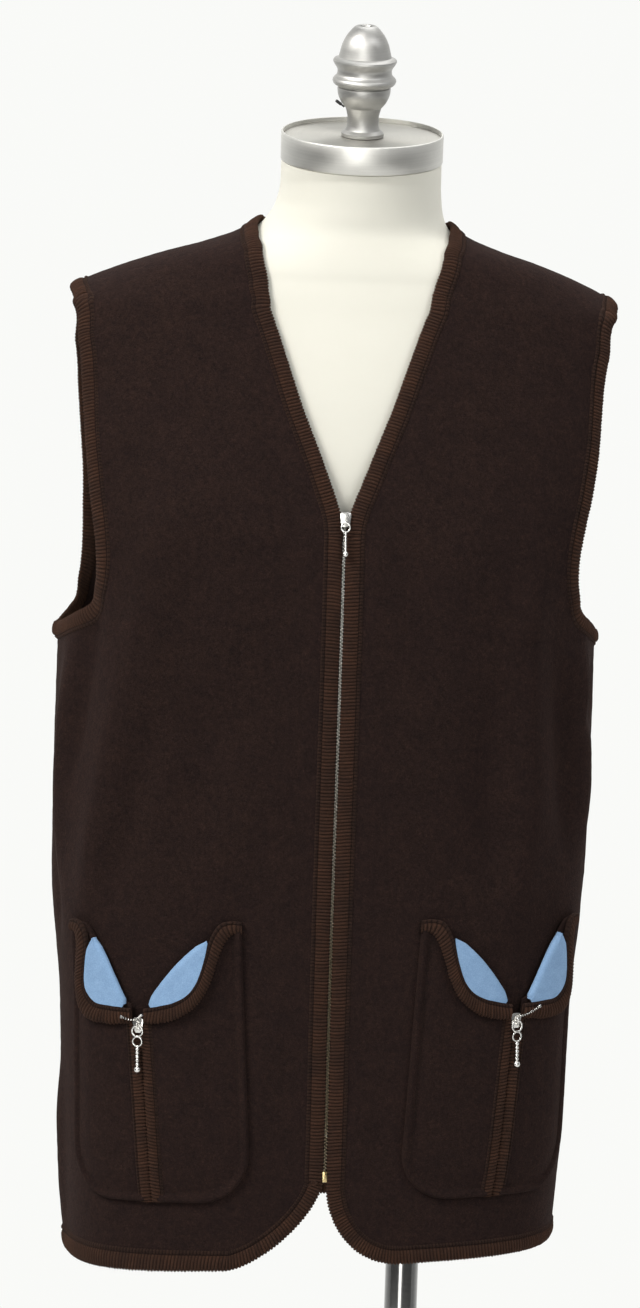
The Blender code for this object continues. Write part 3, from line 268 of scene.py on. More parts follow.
RING_COLUMNS = (
    "height", "side", "front", "back", "centre", "sway", "turn", "square", "lean",
    "loose_side", "loose_front", "loose_back",
)
RINGS = (
    (0.590, 0.1600, 0.0970, 0.1000, 0.000, -0.0145, 5.0, 0.060, 0.068, 0.0277, 0.0310, 0.0140),
    (0.648, 0.1621, 0.0996, 0.1021, 0.000, -0.0142, 5.0, 0.060, 0.035, 0.0291, 0.0281, 0.0119),
    (0.700, 0.1640, 0.1020, 0.1040, 0.000, -0.0140, 5.0, 0.060, 0.034, 0.0307, 0.0255, 0.0100),
    (0.800, 0.1650, 0.1060, 0.1060, 0.000, -0.0147, 5.0, 0.060, 0.034, 0.0331, 0.0210, 0.0075),
    (0.900, 0.1520, 0.1000, 0.0930, 0.000, -0.015, 5.0, 0.055, 0.034, 0.0550, 0.0270, 0.0200),
    (1.000, 0.1430, 0.0970, 0.0830, 0.000, -0.015, 5.0, 0.045, 0.026, 0.0650, 0.0315, 0.0305),
    (1.085, 0.1600, 0.1060, 0.0920, 0.000, -0.015, 5.0, 0.040, 0.014, 0.0475, 0.0225, 0.0225),
    (1.150, 0.1710, 0.1140, 0.0990, 0.001, -0.015, 5.0, 0.040, 0.006, 0.0500, 0.0125, 0.0155),
    (1.200, 0.1780, 0.1130, 0.1020, 0.003, -0.014, 5.0, 0.038, 0.002, 0.0550, 0.0075, 0.0115),
    (1.250, 0.1860, 0.1060, 0.1025, 0.005, -0.013, 4.6, 0.034, 0.000, 0.0540, 0.0050, 0.0080),
    (1.300, 0.1920, 0.0955, 0.0975, 0.007, -0.012, 4.2, 0.026, 0.000, 0.0500, 0.0040, 0.0065),
    (1.330, 0.1945, 0.0880, 0.0920, 0.008, -0.011, 3.8, 0.020, 0.000, 0.0420, 0.0034, 0.0052),
    (1.337, 0.1940, 0.0862, 0.0905, 0.008, -0.010, 3.7, 0.019, 0.000, 0.0310, 0.0032, 0.0048),
    (1.344, 0.1925, 0.0843, 0.0888, 0.008, -0.010, 3.5, 0.018, 0.000, 0.0190, 0.0030, 0.0045),
    (1.351, 0.1860, 0.0823, 0.0870, 0.008, -0.009, 3.3, 0.016, 0.000, 0.0120, 0.0028, 0.0043),
    (1.360, 0.1710, 0.0797, 0.0843, 0.007, -0.008, 3.0, 0.014, 0.000, 0.0060, 0.0028, 0.0042),
    (1.3715, 0.1380, 0.0756, 0.0782, 0.006, -0.007, 2.5, 0.010, 0.000, 0.0070, 0.0032, 0.0061),
    (1.381, 0.1054, 0.0717, 0.0728, 0.005, -0.006, 2.0, 0.006, 0.000, 0.0082, 0.0038, 0.0075),
    (1.391, 0.0812, 0.0680, 0.0684, 0.004, -0.005, 1.0, 0.003, 0.000, 0.0070, 0.0037, 0.0066),
    (1.403, 0.0695, 0.0655, 0.0662, 0.001, -0.003, 0.0, 0.000, 0.000, 0.0026, 0.0022, 0.0024),
    (1.415, 0.0645, 0.0635, 0.0635, -0.002, -0.001, 0.0, 0.000, 0.000, 0.0020, 0.0015, 0.0015),
    (1.432, 0.0622, 0.0622, 0.0622, -0.006, 0.000, 0.0, 0.000, 0.000, 0.0020, 0.0015, 0.0015),
    (1.470, 0.0620, 0.0620, 0.0620, -0.0155, 0.000, 0.0, 0.000, 0.000, 0.0020, 0.0015, 0.0015),
)

# V neck: height and half width
NECKLINE = (
    (1.4010, 0.0733), (1.3950, 0.0745), (1.3870, 0.0735), (1.3760, 0.0700), (1.3600, 0.0668),
    (1.3400, 0.0625), (1.3160, 0.0555), (1.2860, 0.0450), (1.2560, 0.0345), (1.2260, 0.0225),
    (1.2080, 0.0155), (1.1950, 0.0105), (1.1840, 0.0064), (1.1740, 0.0036), (1.1640, 0.0024),
)

# Back neck: share of the way from the side to the centre back, and height
BACK_NECK = ((0.0, 1.4030), (0.25, 1.4015), (0.6, 1.3970), (1.0, 1.3950))

# Armhole: height, and half width on the front and on the back
ARMHOLE = (
    (1.3320, 0.2085, 0.2080), (1.3000, 0.2025, 0.2030), (1.2620, 0.1995, 0.1985),
    (1.2320, 0.1970, 0.1955), (1.2000, 0.1925, 0.1925), (1.1700, 0.1872, 0.1900),
    (1.1400, 0.1835, 0.1880), (1.1180, 0.1855, 0.1895), (1.1000, 0.1925, 0.1945),
)

# The round corner at the foot of each front's zip edge: how far across it reaches, and the power of its curve
CORNERS = {"right": (0.070, 1.5), "left": (0.058, 2.0)}

# A lapel of each half of a pocket: places along its fold, and the border between its facing and its edging
LAPEL = {
    "inner": (
        (0.0545, 0.2000, 0.0551, 0.1987), (0.0478, 0.1948, 0.0524, 0.1888),
        (0.0393, 0.1876, 0.0484, 0.1776), (0.0316, 0.1801, 0.0436, 0.1676),
        (0.0246, 0.1722, 0.0366, 0.1596), (0.0174, 0.1632, 0.0272, 0.1543),
        (0.0122, 0.1561, 0.0177, 0.1514), (0.0092, 0.1517, 0.0106, 0.1496),
    ),
    "outer": (
        (0.0310, 0.2005, 0.0316, 0.1995), (0.0272, 0.1925, 0.0355, 0.1915),
        (0.0232, 0.1845, 0.0376, 0.1790), (0.0196, 0.1755, 0.0384, 0.1660),
        (0.0160, 0.1670, 0.0360, 0.1582), (0.0132, 0.1602, 0.0298, 0.1518),
        (0.0110, 0.1552, 0.0200, 0.1500), (0.0092, 0.1512, 0.0106, 0.1490),
    ),
}

# The lapel's edging, from the pocket's top corner to the slit: its border and its free edge
LAPEL_EDGE = {
    "inner": (
        (0.0810, 0.2140, 0.0810, 0.2052), (0.0730, 0.2146, 0.0750, 0.2058),
        (0.0645, 0.2122, 0.0706, 0.2036), (0.0574, 0.2018, 0.0655, 0.1962),
        (0.0530, 0.1886, 0.0603, 0.1842), (0.0489, 0.1772, 0.0555, 0.1710),
        (0.0440, 0.1671, 0.0486, 0.1584), (0.0368, 0.1590, 0.0395, 0.1488),
        (0.0273, 0.1537, 0.0283, 0.1420), (0.0177, 0.1508, 0.0167, 0.1388),
        (0.0106, 0.1490, 0.0092, 0.1378), (0.0050, 0.1480, 0.0050, 0.1374),
    ),
    "outer": (
        (0.0590, 0.2115, 0.0590, 0.2030), (0.0520, 0.2125, 0.0545, 0.2036),
        (0.0440, 0.2112, 0.0508, 0.2012), (0.0378, 0.2040, 0.0484, 0.1950),
        (0.0366, 0.1925, 0.0484, 0.1862), (0.0386, 0.1787, 0.0492, 0.1745),
        (0.0394, 0.1655, 0.0492, 0.1602), (0.0369, 0.1574, 0.0462, 0.1468),
        (0.0304, 0.1510, 0.0384, 0.1388), (0.0202, 0.1492, 0.0220, 0.1366),
        (0.0108, 0.1482, 0.0112, 0.1374), (0.0050, 0.1478, 0.0050, 0.1374),
    ),
}

# The top of the patch under the lapel, from the slit band to the top corner
PATCH_TOP = {
    "inner": (
        (0.0099, 0.1522), (0.0172, 0.1625), (0.0244, 0.1716), (0.0314, 0.1796), (0.0391, 0.1871),
        (0.0555, 0.2005), (0.0655, 0.2125), (0.0810, 0.2140),
    ),
    "outer": (
        (0.0099, 0.1512), (0.0128, 0.1592), (0.0160, 0.1664), (0.0196, 0.1750), (0.0232, 0.1840),
        (0.0318, 0.2000), (0.0400, 0.2095), (0.0590, 0.2115),
    ),
}

# Half width of the pocket's foot
FOOT_HALF = {"inner": 0.0755, "outer": 0.0715}

# The finial's turned profile: height above the cap and radius
FINIAL = (
    (0.0000, 0.0160), (0.0005, 0.0164), (0.0028, 0.0164), (0.0036, 0.0156), (0.0050, 0.0136),
    (0.0070, 0.0127), (0.0100, 0.0122), (0.0160, 0.0122), (0.0215, 0.0136), (0.0224, 0.0139),
    (0.0230, 0.0146), (0.0262, 0.0172), (0.0300, 0.0192), (0.0335, 0.0203), (0.0370, 0.0206),
    (0.0378, 0.0204), (0.0384, 0.0198), (0.0390, 0.0205), (0.0402, 0.0228), (0.0412, 0.0238),
    (0.0432, 0.0246), (0.0446, 0.0243), (0.0458, 0.0234), (0.0474, 0.0217), (0.0488, 0.0211),
    (0.0504, 0.0209), (0.0522, 0.0210), (0.0538, 0.0219), (0.0552, 0.0229), (0.0570, 0.0240),
    (0.0583, 0.0246), (0.0594, 0.0244), (0.0602, 0.0236), (0.0612, 0.0214), (0.0616, 0.0205),
    (0.0640, 0.0198), (0.0672, 0.0190), (0.0710, 0.0180), (0.0748, 0.0164), (0.0780, 0.0146),
    (0.0808, 0.0125), (0.0830, 0.0106), (0.0846, 0.0090), (0.0854, 0.0078), (0.0857, 0.0068),
    (0.0856, 0.0056), (0.0852, 0.0048), (0.0840, 0.0042), (0.0800, 0.0040), (0.0780, 0.0040),
)

SIDES = (("right", -1.0), ("left", 1.0))
HALVES = (("inner", -1.0), ("outer", 1.0))
SIDE_ANGLE = math.pi / 2

# Soft folds of the cloth. Each runs from one place to another: angle round from the centre front, positive to
# the wearer's left, and height; then its half width, and how far it stands out, or in where negative.
FOLDS = (
    # right front
    (-0.50, 1.205, -0.80, 1.020, 0.021, 0.0060),
    (-0.79, 1.035, -0.96, 0.890, 0.018, 0.0056),
    (-0.36, 1.200, -0.42, 1.050, 0.030, 0.0034),
    (-0.42, 1.035, -0.46, 0.930, 0.022, -0.0038),
    (-0.66, 1.010, -0.78, 0.890, 0.012, -0.0036),
    (-0.98, 1.120, -1.16, 0.980, 0.014, -0.0048),
    (-1.24, 1.060, -1.34, 0.900, 0.015, 0.0048),
    (-0.22, 0.930, -0.24, 0.790, 0.020, -0.0024),
    (-0.18, 0.800, -0.26, 0.640, 0.018, 0.0022),
    (-1.40, 0.960, -1.36, 0.860, 0.012, -0.0040),
    (-1.46, 0.740, -1.50, 0.620, 0.012, 0.0034),
    (-0.80, 1.290, -1.05, 1.190, 0.018, -0.0022),
    # left front
    (0.34, 1.190, 0.42, 1.000, 0.027, 0.0028),
    (0.68, 1.130, 0.70, 0.960, 0.016, 0.0052),
    (0.71, 0.975, 0.63, 0.860, 0.017, 0.0046),
    (0.50, 1.040, 0.53, 0.900, 0.015, -0.0036),
    (0.88, 1.060, 0.96, 0.920, 0.014, -0.0046),
    (1.08, 1.080, 1.18, 0.930, 0.015, 0.0044),
    (1.32, 1.060, 1.12, 1.010, 0.009, -0.0034),
    (1.34, 1.000, 1.32, 0.880, 0.013, -0.0042),
    (0.24, 0.860, 0.20, 0.690, 0.020, 0.0024),
    (1.46, 0.860, 1.50, 0.640, 0.013, -0.0030),
    (0.84, 1.300, 1.10, 1.200, 0.020, -0.0020),
    # back
    (1.78, 1.060, 1.84, 0.800, 0.017, 0.0040),
    (2.06, 1.100, 2.02, 0.860, 0.015, -0.0038),
    (2.34, 1.140, 2.26, 0.820, 0.021, 0.0036),
    (2.62, 1.060, 2.60, 0.760, 0.017, -0.0030),
    (2.94, 1.200, 2.88, 0.900, 0.023, 0.0026),
    (-3.02, 1.060, -3.08, 0.760, 0.019, -0.0024),
    (-2.74, 1.160, -2.66, 0.840, 0.019, 0.0034),
    (-2.42, 1.080, -2.44, 0.900, 0.015, -0.0038),
    (-2.16, 1.130, -2.06, 0.840, 0.018, 0.0042),
    (-1.86, 1.060, -1.80, 0.780, 0.015, -0.0036),
    (2.20, 0.830, 2.24, 0.640, 0.020, 0.0026),
    (-2.30, 0.820, -2.24, 0.650, 0.022, 0.0028),
    (2.50, 1.300, 2.12, 1.180, 0.018, -0.0018),
    (-2.54, 1.296, -2.16, 1.170, 0.019, -0.0018),
)
FOLD_RADIUS = 0.170
FOLD_CLEAR = (0.014, 0.060)
FOLD_GAIN = 1.35

# Where a fold rises and fades, as shares of its length, and below which height folds show, counted downward
FOLD_START = (-0.25, 0.3)
FOLD_END = (-1.25, -0.7)
FOLD_TOP = (-1.33, -1.26)

# The cloth lies smooth round each pocket's slider: its angle and height, and how far that reaches
CALM = (0.806, 0.780, 0.040, 0.085)


def columns(table, names):
    """The table's columns by name, as arrays."""
    return dict(zip(names, np.array(table, float).T))


def smooth(xs, ys, x):
    """The cubic curve through (xs, ys) whose slopes are limited, so that it never overshoots the table."""
    xs = np.asarray(xs, float)
    ys = np.asarray(ys, float)
    step = np.diff(xs)
    rise = np.diff(ys) / step
    slope = np.zeros_like(ys)
    same = rise[:-1] * rise[1:] > 0
    total = np.where(same, rise[:-1] + rise[1:], 1.0)
    slope[1:-1] = np.where(same, 2 * rise[:-1] * rise[1:] / total, 0.0)
    slope[0] = rise[0]
    slope[-1] = rise[-1]
    i = np.clip(np.searchsorted(xs, x) - 1, 0, len(step) - 1)
    t = (x - xs[i]) / step[i]
    start = ys[i] * (1 + 2 * t) * (1 - t) ** 2 + slope[i] * step[i] * t * (1 - t) ** 2
    end = ys[i + 1] * t**2 * (3 - 2 * t) - slope[i + 1] * step[i] * t**2 * (1 - t)
    return start + end


def spline(points, count, closed=False):
    """A smooth curve through a few points of the plane, with count points at even steps of its parameter."""
    points = np.asarray(points, float)
    if closed:
        padded = np.vstack([points[-1], points, points[0], points[1]])
        spans = len(points)
    else:
        padded = np.vstack([2 * points[0] - points[1], points, 2 * points[-1] - points[-2]])
        spans = len(points) - 1
    t = np.linspace(0, spans, count)
    i = np.minimum(t.astype(int), spans - 1)
    u = (t - i)[:, None]
    p0, p1, p2, p3 = (padded[i + k] for k in range(4))
    bend = (2 * p0 - 5 * p1 + 4 * p2 - p3) * u**2 + (3 * p1 - p0 - 3 * p2 + p3) * u**3
    return 0.5 * (2 * p1 + (p2 - p0) * u + bend)


def eased(value, low, high):
    """0 under low and 1 over high, with a smooth step between."""
    t = np.clip((value - low) / (high - low), 0, 1)
    return t * t * (3 - 2 * t)


def lengths(path):
    """The length along a path of points, from its start to each of them."""
    return np.concatenate([[0], np.cumsum(np.linalg.norm(np.diff(path, axis=0), axis=1))])


def path_at(path, run, at):
    """Places of the path where its run has the given values."""
    return np.stack([np.interp(at, run, path[:, k]) for k in range(path.shape[1])], -1)


def unit(vectors):
    return vectors / np.linalg.norm(vectors, axis=-1, keepdims=True)


class Skin:
    """The surface of stacked rings. looseness 0 is the form itself and 1 is the inner face of the cloth."""

    STEP = 1e-4

    def __init__(self, looseness):
        self.table = columns(RINGS, RING_COLUMNS)
        for part in ("side", "front", "back"):
            self.table[part] = self.table[part] + looseness * self.table["loose_" + part]
        self.table["lean"] = looseness * self.table["lean"]

    def ring(self, name, height):
        return smooth(self.table["height"], self.table[name], height)

    def flat(self, angle, height):
        """Across and along the depth, in the ring's own plane before it is turned and moved."""
        square = self.ring("square", height)
        across = (1 + square) * np.sin(angle) + square * np.sin(3 * angle)
        along = (1 + square) * np.cos(angle) - square * np.cos(3 * angle)
        depth = np.where(along > 0, self.ring("front", height), self.ring("back", height))
        return self.ring("side", height) * across, -depth * along

    def points(self, angle, height):
        angle = np.asarray(angle, float)
        height = np.asarray(height, float)
        x, y = self.flat(angle, height)
        y = y + self.ring("centre", height)
        turn = np.radians(self.ring("turn", height))
        across = x * np.cos(turn) - y * np.sin(turn)
        level = height + self.ring("lean", height) * across
        return np.stack([across + self.ring("sway", height), x * np.sin(turn) + y * np.cos(turn), level], -1)

    def nearest(self, place, steps=25):
        """The places of the skin that lie nearest to points in space."""
        height = place[..., 2]
        turn = np.radians(self.ring("turn", height))
        x = place[..., 0] - self.ring("sway", height)
        y = place[..., 1]
        height = height - self.ring("lean", height) * x
        across = x * np.cos(turn) + y * np.sin(turn)
        along = y * np.cos(turn) - x * np.sin(turn) - self.ring("centre", height)
        depth = np.where(along < 0, self.ring("front", height), self.ring("back", height))
        angle = np.arctan2(across / self.ring("side", height), -along / depth) % (2 * math.pi)
        for _ in range(steps):
            by_angle, by_height = self.slopes(angle, height)
            off = place - self.points(angle, height)
            aa = (by_angle * by_angle).sum(-1)
            ah = (by_angle * by_height).sum(-1)
            hh = (by_height * by_height).sum(-1)
            a_off = (by_angle * off).sum(-1)
            h_off = (by_height * off).sum(-1)
            scale = 0.6 / (aa * hh - ah * ah)
            angle = angle + np.clip((a_off * hh - h_off * ah) * scale, -0.1, 0.1)
            height = height + np.clip((h_off * aa - a_off * ah) * scale, -0.01, 0.01)
        return np.stack([angle, height], -1)

    def slopes(self, angle, height):
        """How far a place moves for each radian round and each metre up."""
        step = self.STEP
        by_angle = (self.points(angle + step, height) - self.points(angle - step, height)) / (2 * step)
        by_height = (self.points(angle, height + step) - self.points(angle, height - step)) / (2 * step)
        return by_angle, by_height

    def normals(self, angle, height):
        return unit(np.cross(*self.slopes(angle, height)))

    def angle_at_side(self, across, height):
        """The angle on the front whose distance from the centre line is across."""
        low = np.zeros_like(np.asarray(across, float) + height)
        high = low + math.pi / 2
        for _ in range(40):
            middle = (low + high) / 2
            short = self.flat(middle, height + 0 * middle)[0] < across
            low = np.where(short, middle, low)
            high = np.where(short, high, middle)
        return (low + high) / 2

    def angle_at_arc(self, arc, height):
        """The angle that lies arc metres round the ring from the centre front."""
        arc = np.asarray(arc, float)
        angles = np.linspace(0, math.pi, 181)
        levels = np.asarray(height, float).ravel()
        x, y = self.flat(angles[None], levels[:, None])
        step = np.hypot(np.diff(x, axis=1), np.diff(y, axis=1))
        run = np.concatenate([np.zeros((len(levels), 1)), np.cumsum(step, axis=1)], 1)
        found = [np.interp(a, r, angles) for a, r in zip(arc.ravel(), run)]
        return np.array(found).reshape(arc.shape)

    def inset(self, curve, width, steps=4):
        """The curve moved sideways over the surface by width, to the left of its run seen from outside."""
        curve = np.array(curve, float)
        for _ in range(steps):
            angle, height = curve.T
            run = np.gradient(self.points(angle, height), axis=0)
            by_angle, by_height = self.slopes(angle, height)
            side = np.cross(np.cross(by_angle, by_height), run)
            side *= (width / steps) / np.linalg.norm(side, axis=1, keepdims=True)
            for i in range(len(curve)):
                basis = np.stack([by_angle[i], by_height[i]], 1)
                curve[i] += np.linalg.lstsq(basis, side[i], rcond=None)[0]
        return curve

    def spaced(self, curve, shares):
        """Points of the curve at the given shares of its length."""
        run = self.run(curve)
        return path_at(curve, run, shares * run[-1])

    def run(self, curve):
        """The real length along a curve, from its start to each of its points."""
        return lengths(self.points(*curve.T))


CLOTH = Skin(1.0)
FORM = Skin(0.0)


def folds(angle, height):
    """How far the folds stand out of the skin at each place."""
    turned_angle = (angle + math.pi) % (2 * math.pi) - math.pi
    total = np.zeros(np.broadcast(angle, height).shape)
    for a0, h0, a1, h1, width, depth in FOLDS:
        way = np.array([(a1 - a0) * FOLD_RADIUS, h1 - h0])
        length = math.hypot(*way)
        way /= length
        off = (turned_angle - a0 + math.pi) % (2 * math.pi) - math.pi
        dx = off * FOLD_RADIUS
        dz = height - h0
        along = (dx * way[0] + dz * way[1]) / length
        across = dx * way[1] - dz * way[0]
        fade = eased(along, *FOLD_START) * eased(-along, *FOLD_END)
        total += FOLD_GAIN * depth * np.exp(-((across / width) ** 2)) * fade
    arc = np.abs(turned_angle) * FOLD_RADIUS
    calm_angle, calm_height, near, far = CALM
    from_slider = np.hypot((np.abs(turned_angle) - calm_angle) * FOLD_RADIUS, height - calm_height)
    total = total * eased(from_slider, near, far)
    return total * eased(arc, *FOLD_CLEAR) * eased(-height, *FOLD_TOP)


def laid(grid, distance, side=1.0):
    """Places of a grid of (angle, height) at a distance outside the folded cloth's inner face."""
    angle = side * grid[..., 0]
    height = grid[..., 1]
    reach = distance + folds(angle, height)
    return CLOTH.points(angle, height) + CLOTH.normals(angle, height) * reach[..., None]


# Materials


class Nodes:
    """A node tree whose nodes are added by short calls."""

    def __init__(self, tree):
        self.tree = tree

    def set(self, node, socket, value):
        if isinstance(value, bpy.types.NodeSocket):
            self.tree.links.new(value, node.inputs[socket])
        else:
            node.inputs[socket].default_value = value

    def node(self, kind, inputs=None, **settings):
        made = self.tree.nodes.new(kind)
        for key, value in settings.items():
            setattr(made, key, value)
        for socket, value in (inputs or {}).items():
            self.set(made, socket, value)
        return made

    def ramp(self, value, stops):
        made = self.node("ShaderNodeValToRGB", {"Fac": value})
        elements = made.color_ramp.elements
        while len(elements) < len(stops):
            elements.new(0.5)
        for element, (position, colour) in zip(elements, stops):
            element.position = position
            element.color = (*colour, 1.0)
        return made.outputs["Color"]


class Finish(Nodes):
    """A material: plain values on its shader, and layers of detail by short calls."""

    def __init__(self, name, colour, roughness, metallic=0.0, **sockets):
        self.material = bpy.data.materials.new(name)
        self.material.use_nodes = True
        super().__init__(self.material.node_tree)
        self.shader = self.tree.nodes["Principled BSDF"]
        values = {"Base_Color": (*colour, 1.0), "Roughness": roughness, "Metallic": metallic, **sockets}
        for key, value in values.items():
            self.set(self.shader, key.replace("_", " "), value)

    def place(self, scale=(1, 1, 1), attribute=None):
        """Coordinates in metres, stretched by scale: the piece's own, or a named layer of its mesh."""
        if attribute:
            source = self.node("ShaderNodeAttribute", attribute_name=attribute).outputs["Vector"]
        else:
            source = self.node("ShaderNodeTexCoord").outputs["Object"]
        return self.node("ShaderNodeMapping", {"Vector": source, "Scale": scale}).outputs["Vector"]

    def part(self, axis, attribute=None):
        """One coordinate of a place."""
        return self.node("ShaderNodeSeparateXYZ", {"Vector": self.place(attribute=attribute)}).outputs[axis]

    def noise(self, scale, detail, rough, distortion=0.0, place=None):
        inputs = {"Vector": place or self.place(), "Scale": scale, "Detail": detail, "Roughness": rough,
                  "Distortion": distortion}
        return self.node("ShaderNodeTexNoise", inputs).outputs["Fac"]

    def wave(self, stretch, direction, distortion, detail=2.0):
        """Bands over the thread coordinates, stretched to a scale of 1."""
        inputs = {"Vector": self.place(stretch, "thread"), "Scale": 1.0, "Distortion": distortion,
                  "Detail": detail}
        made = self.node("ShaderNodeTexWave", inputs, wave_type="BANDS", bands_direction=direction)
        return made.outputs["Fac"]

    def math(self, operation, first, second=0.0):
        return self.node("ShaderNodeMath", {0: first, 1: second}, operation=operation).outputs[0]

    def mix(self, share, first, second, blend="MIX"):
        inputs = {0: share}
        for socket, colour in ((6, first), (7, second)):
            inputs[socket] = (*colour, 1.0) if isinstance(colour, tuple) else colour
        return self.node("ShaderNodeMix", inputs, data_type="RGBA", blend_type=blend).outputs[2]

    def times(self, tone, *layers):
        """The tone multiplied by a ramp for each (value, stops)."""
        for value, stops in layers:
            tone = self.mix(1.0, tone, self.ramp(value, stops), "MULTIPLY")
        return tone

    def finished(self, tone, rough=None, bumps=()):
        """The material with its colour, its (value, lowest, highest) roughness and its bumps.

        The bumps lie one over another: (height, distance, strength).
        """
        self.set(self.shader, "Base Color", tone)
        if rough:
            value, low, high = rough
            made = self.node("ShaderNodeMapRange", {"Value": value, "To Min": low, "To Max": high})
            self.set(self.shader, "Roughness", made.outputs["Result"])
        normal = None
        for height, distance, strength in bumps:
            made = self.node("ShaderNodeBump", {"Height": height, "Distance": distance, "Strength": strength})
            if normal:
                self.set(made, "Normal", normal)
            normal = made.outputs["Normal"]
        if normal:
            self.set(self.shader, "Normal", normal)
        return self.material


def wool_finish():
    made = Finish("boiled_wool", (0.015, 0.0088, 0.0073), 0.97, Sheen_Weight=0.08, Sheen_Roughness=0.6,
                  Sheen_Tint=(0.26, 0.14, 0.11, 1.0), Specular_IOR_Level=0.08)
    fibre = made.noise(1300.0, 6.0, 0.74, 0.8)
    tuft = made.noise(430.0, 4.0, 0.65, 0.4)
    fleck = made.noise(210.0, 5.0, 0.7, 0.5)
    cloud = made.noise(52.0, 4.0, 0.6)
    brown = ((0.28, (0.0042, 0.0024, 0.0021)), (0.50, (0.0149, 0.0084, 0.0073)),
             (0.74, (0.0398, 0.0222, 0.0188)))
    tone = made.times(
        made.ramp(fibre, brown),
        (tuft, ((0.32, (0.74, 0.73, 0.75)), (0.68, (1.27, 1.25, 1.22)))),
        (fleck, ((0.36, (0.80, 0.82, 0.86)), (0.64, (1.22, 1.19, 1.14)))),
        (cloud, ((0.30, (0.87, 0.88, 0.91)), (0.70, (1.14, 1.12, 1.08)))),
    )
    bumps = ((fleck, 0.0016, 0.40), (tuft, 0.0013, 0.55), (fibre, 0.0006, 0.60))
    return made.finished(tone, (tuft, 0.90, 1.0), bumps)


def edging_finish():
    """Twisted wool threads that run across the edging, with painted shade where they sink between two ribs.
    """
    made = Finish("overlock_thread", (0.052, 0.026, 0.016), 0.90, Sheen_Weight=0.10, Sheen_Roughness=0.5,
                  Sheen_Tint=(0.40, 0.22, 0.15, 1.0), Specular_IOR_Level=0.14)
    lines = made.wave((2300.0, 260.0, 1.0), "X", 1.6)
    signed = made.part("Z", "thread")
    rib_groove_shade = made.math("ABSOLUTE", signed)
    on_chain = made.math("LESS_THAN", signed, 0.0)
    fibre = made.noise(1500.0, 5.0, 0.7)
    cloud = made.noise(60.0, 3.0, 0.55)
    brown = ((0.28, (0.0208, 0.0096, 0.0060)), (0.50, (0.0482, 0.0233, 0.0144)),
             (0.74, (0.0860, 0.0438, 0.0276)))
    shade = ((0.0, (0.72, 0.70, 0.70)), (1.0, (1.14, 1.12, 1.10)))
    tone = made.times(made.ramp(fibre, brown), (lines, shade))
    felted = made.mix(1.0, tone, (0.56, 0.58, 0.66), "MULTIPLY")
    # Painted shade: the ramp on the rib's height darkens the thread toward a quarter of its tone between two
    # ribs.
    tone = made.times(
        made.mix(on_chain, tone, felted),
        (rib_groove_shade, ((0.0, (0.24, 0.22, 0.22)), (0.50, (0.72, 0.68, 0.66)), (1.0, (1.16, 1.14, 1.11)))),
        (cloud, ((0.30, (0.78, 0.80, 0.86)), (0.70, (1.22, 1.16, 1.08)))),
    )
    return made.finished(tone, (fibre, 0.80, 0.97), ((lines, 0.0004, 0.6), (fibre, 0.0004, 0.4)))


def felt_finish():
    made = Finish("blue_felt", (0.26, 0.43, 0.62), 0.92, Sheen_Weight=0.15, Sheen_Roughness=0.5,
                  Specular_IOR_Level=0.15)
    fibre = made.noise(1300.0, 6.0, 0.7, 0.8)
    cloud = made.noise(120.0, 3.0, 0.5)
    blue = ((0.25, (0.155, 0.272, 0.455)), (0.5, (0.218, 0.354, 0.550)), (0.75, (0.32, 0.47, 0.670)))
    tone = made.times(made.ramp(fibre, blue), (cloud, ((0.3, (0.93, 0.94, 0.95)), (0.7, (1.06, 1.05, 1.04)))))
    return made.finished(tone, (fibre, 0.86, 1.0), ((fibre, 0.0005, 0.5), (cloud, 0.0008, 0.3)))


def tape_finish():
    made = Finish("zip_tape", (0.012, 0.009, 0.008), 0.9, Sheen_Weight=0.1, Specular_IOR_Level=0.2)
    lines = made.wave((4200.0, 5200.0, 1.0), "DIAGONAL", 0.6)
    tone = made.ramp(lines, ((0.0, (0.006, 0.0045, 0.004)), (1.0, (0.022, 0.016, 0.014))))
    return made.finished(tone, bumps=((lines, 0.0003, 0.6),))


def jersey_finish():
    made = Finish("cream_jersey", (0.78, 0.765, 0.68), 0.88, Sheen_Weight=0.10, Specular_IOR_Level=0.25)
    wales, loops = (made.wave((5200.0, 3000.0, 1.0), direction, 0.5, 1.0) for direction in "XY")
    stitch = made.math("MULTIPLY", wales, loops)
    cloud = made.noise(14.0, 3.0, 0.5)
    tone = made.times(made.ramp(stitch, ((0.0, (0.735, 0.72, 0.635)), (1.0, (0.80, 0.785, 0.70)))),
                      (cloud, ((0.3, (0.985, 0.985, 0.98)), (0.7, (1.0, 1.0, 1.0)))))
    return made.finished(tone, (cloud, 0.84, 0.92), ((stitch, 0.0003, 0.25),))


def grained_finish(name, colour, roughness, grain, stops, spread=None, bump=None, **sockets):
    """One layer of grain: its (scale, detail, roughness), its colours, and the shine and bump it gives."""
    made = Finish(name, colour, roughness, **sockets)
    value = made.noise(*grain)
    bumps = ((value, *bump),) if bump else ()
    return made.finished(made.ramp(value, stops), spread and (value, *spread), bumps)


def metal_finish(name, low, high, roughness, brass=None):
    """Plated metal with fine wear; where asked, painted shade mixes it toward a dark brown, fully below the
    foot height and fading out by the head height: (foot, head, colour).
    """
    made = Finish(name, high, roughness[0], 1.0)
    wear = made.noise(900.0, 5.0, 0.65)
    tone = made.ramp(made.noise(180.0, 3.0, 0.5), ((0.3, low), (0.7, high)))
    # Painted shade: below the given heights the metal is mixed toward a dark brown, darker toward the foot.
    if brass:
        limits = {"Value": made.part("Z"), "From Min": brass[0], "From Max": brass[1], "To Min": 0.92,
                  "To Max": 0.0}
        tone = made.mix(made.node("ShaderNodeMapRange", limits).outputs["Result"], tone, brass[2])
    return made.finished(tone, (wear, *roughness), ((wear, 0.0001, 0.25),))


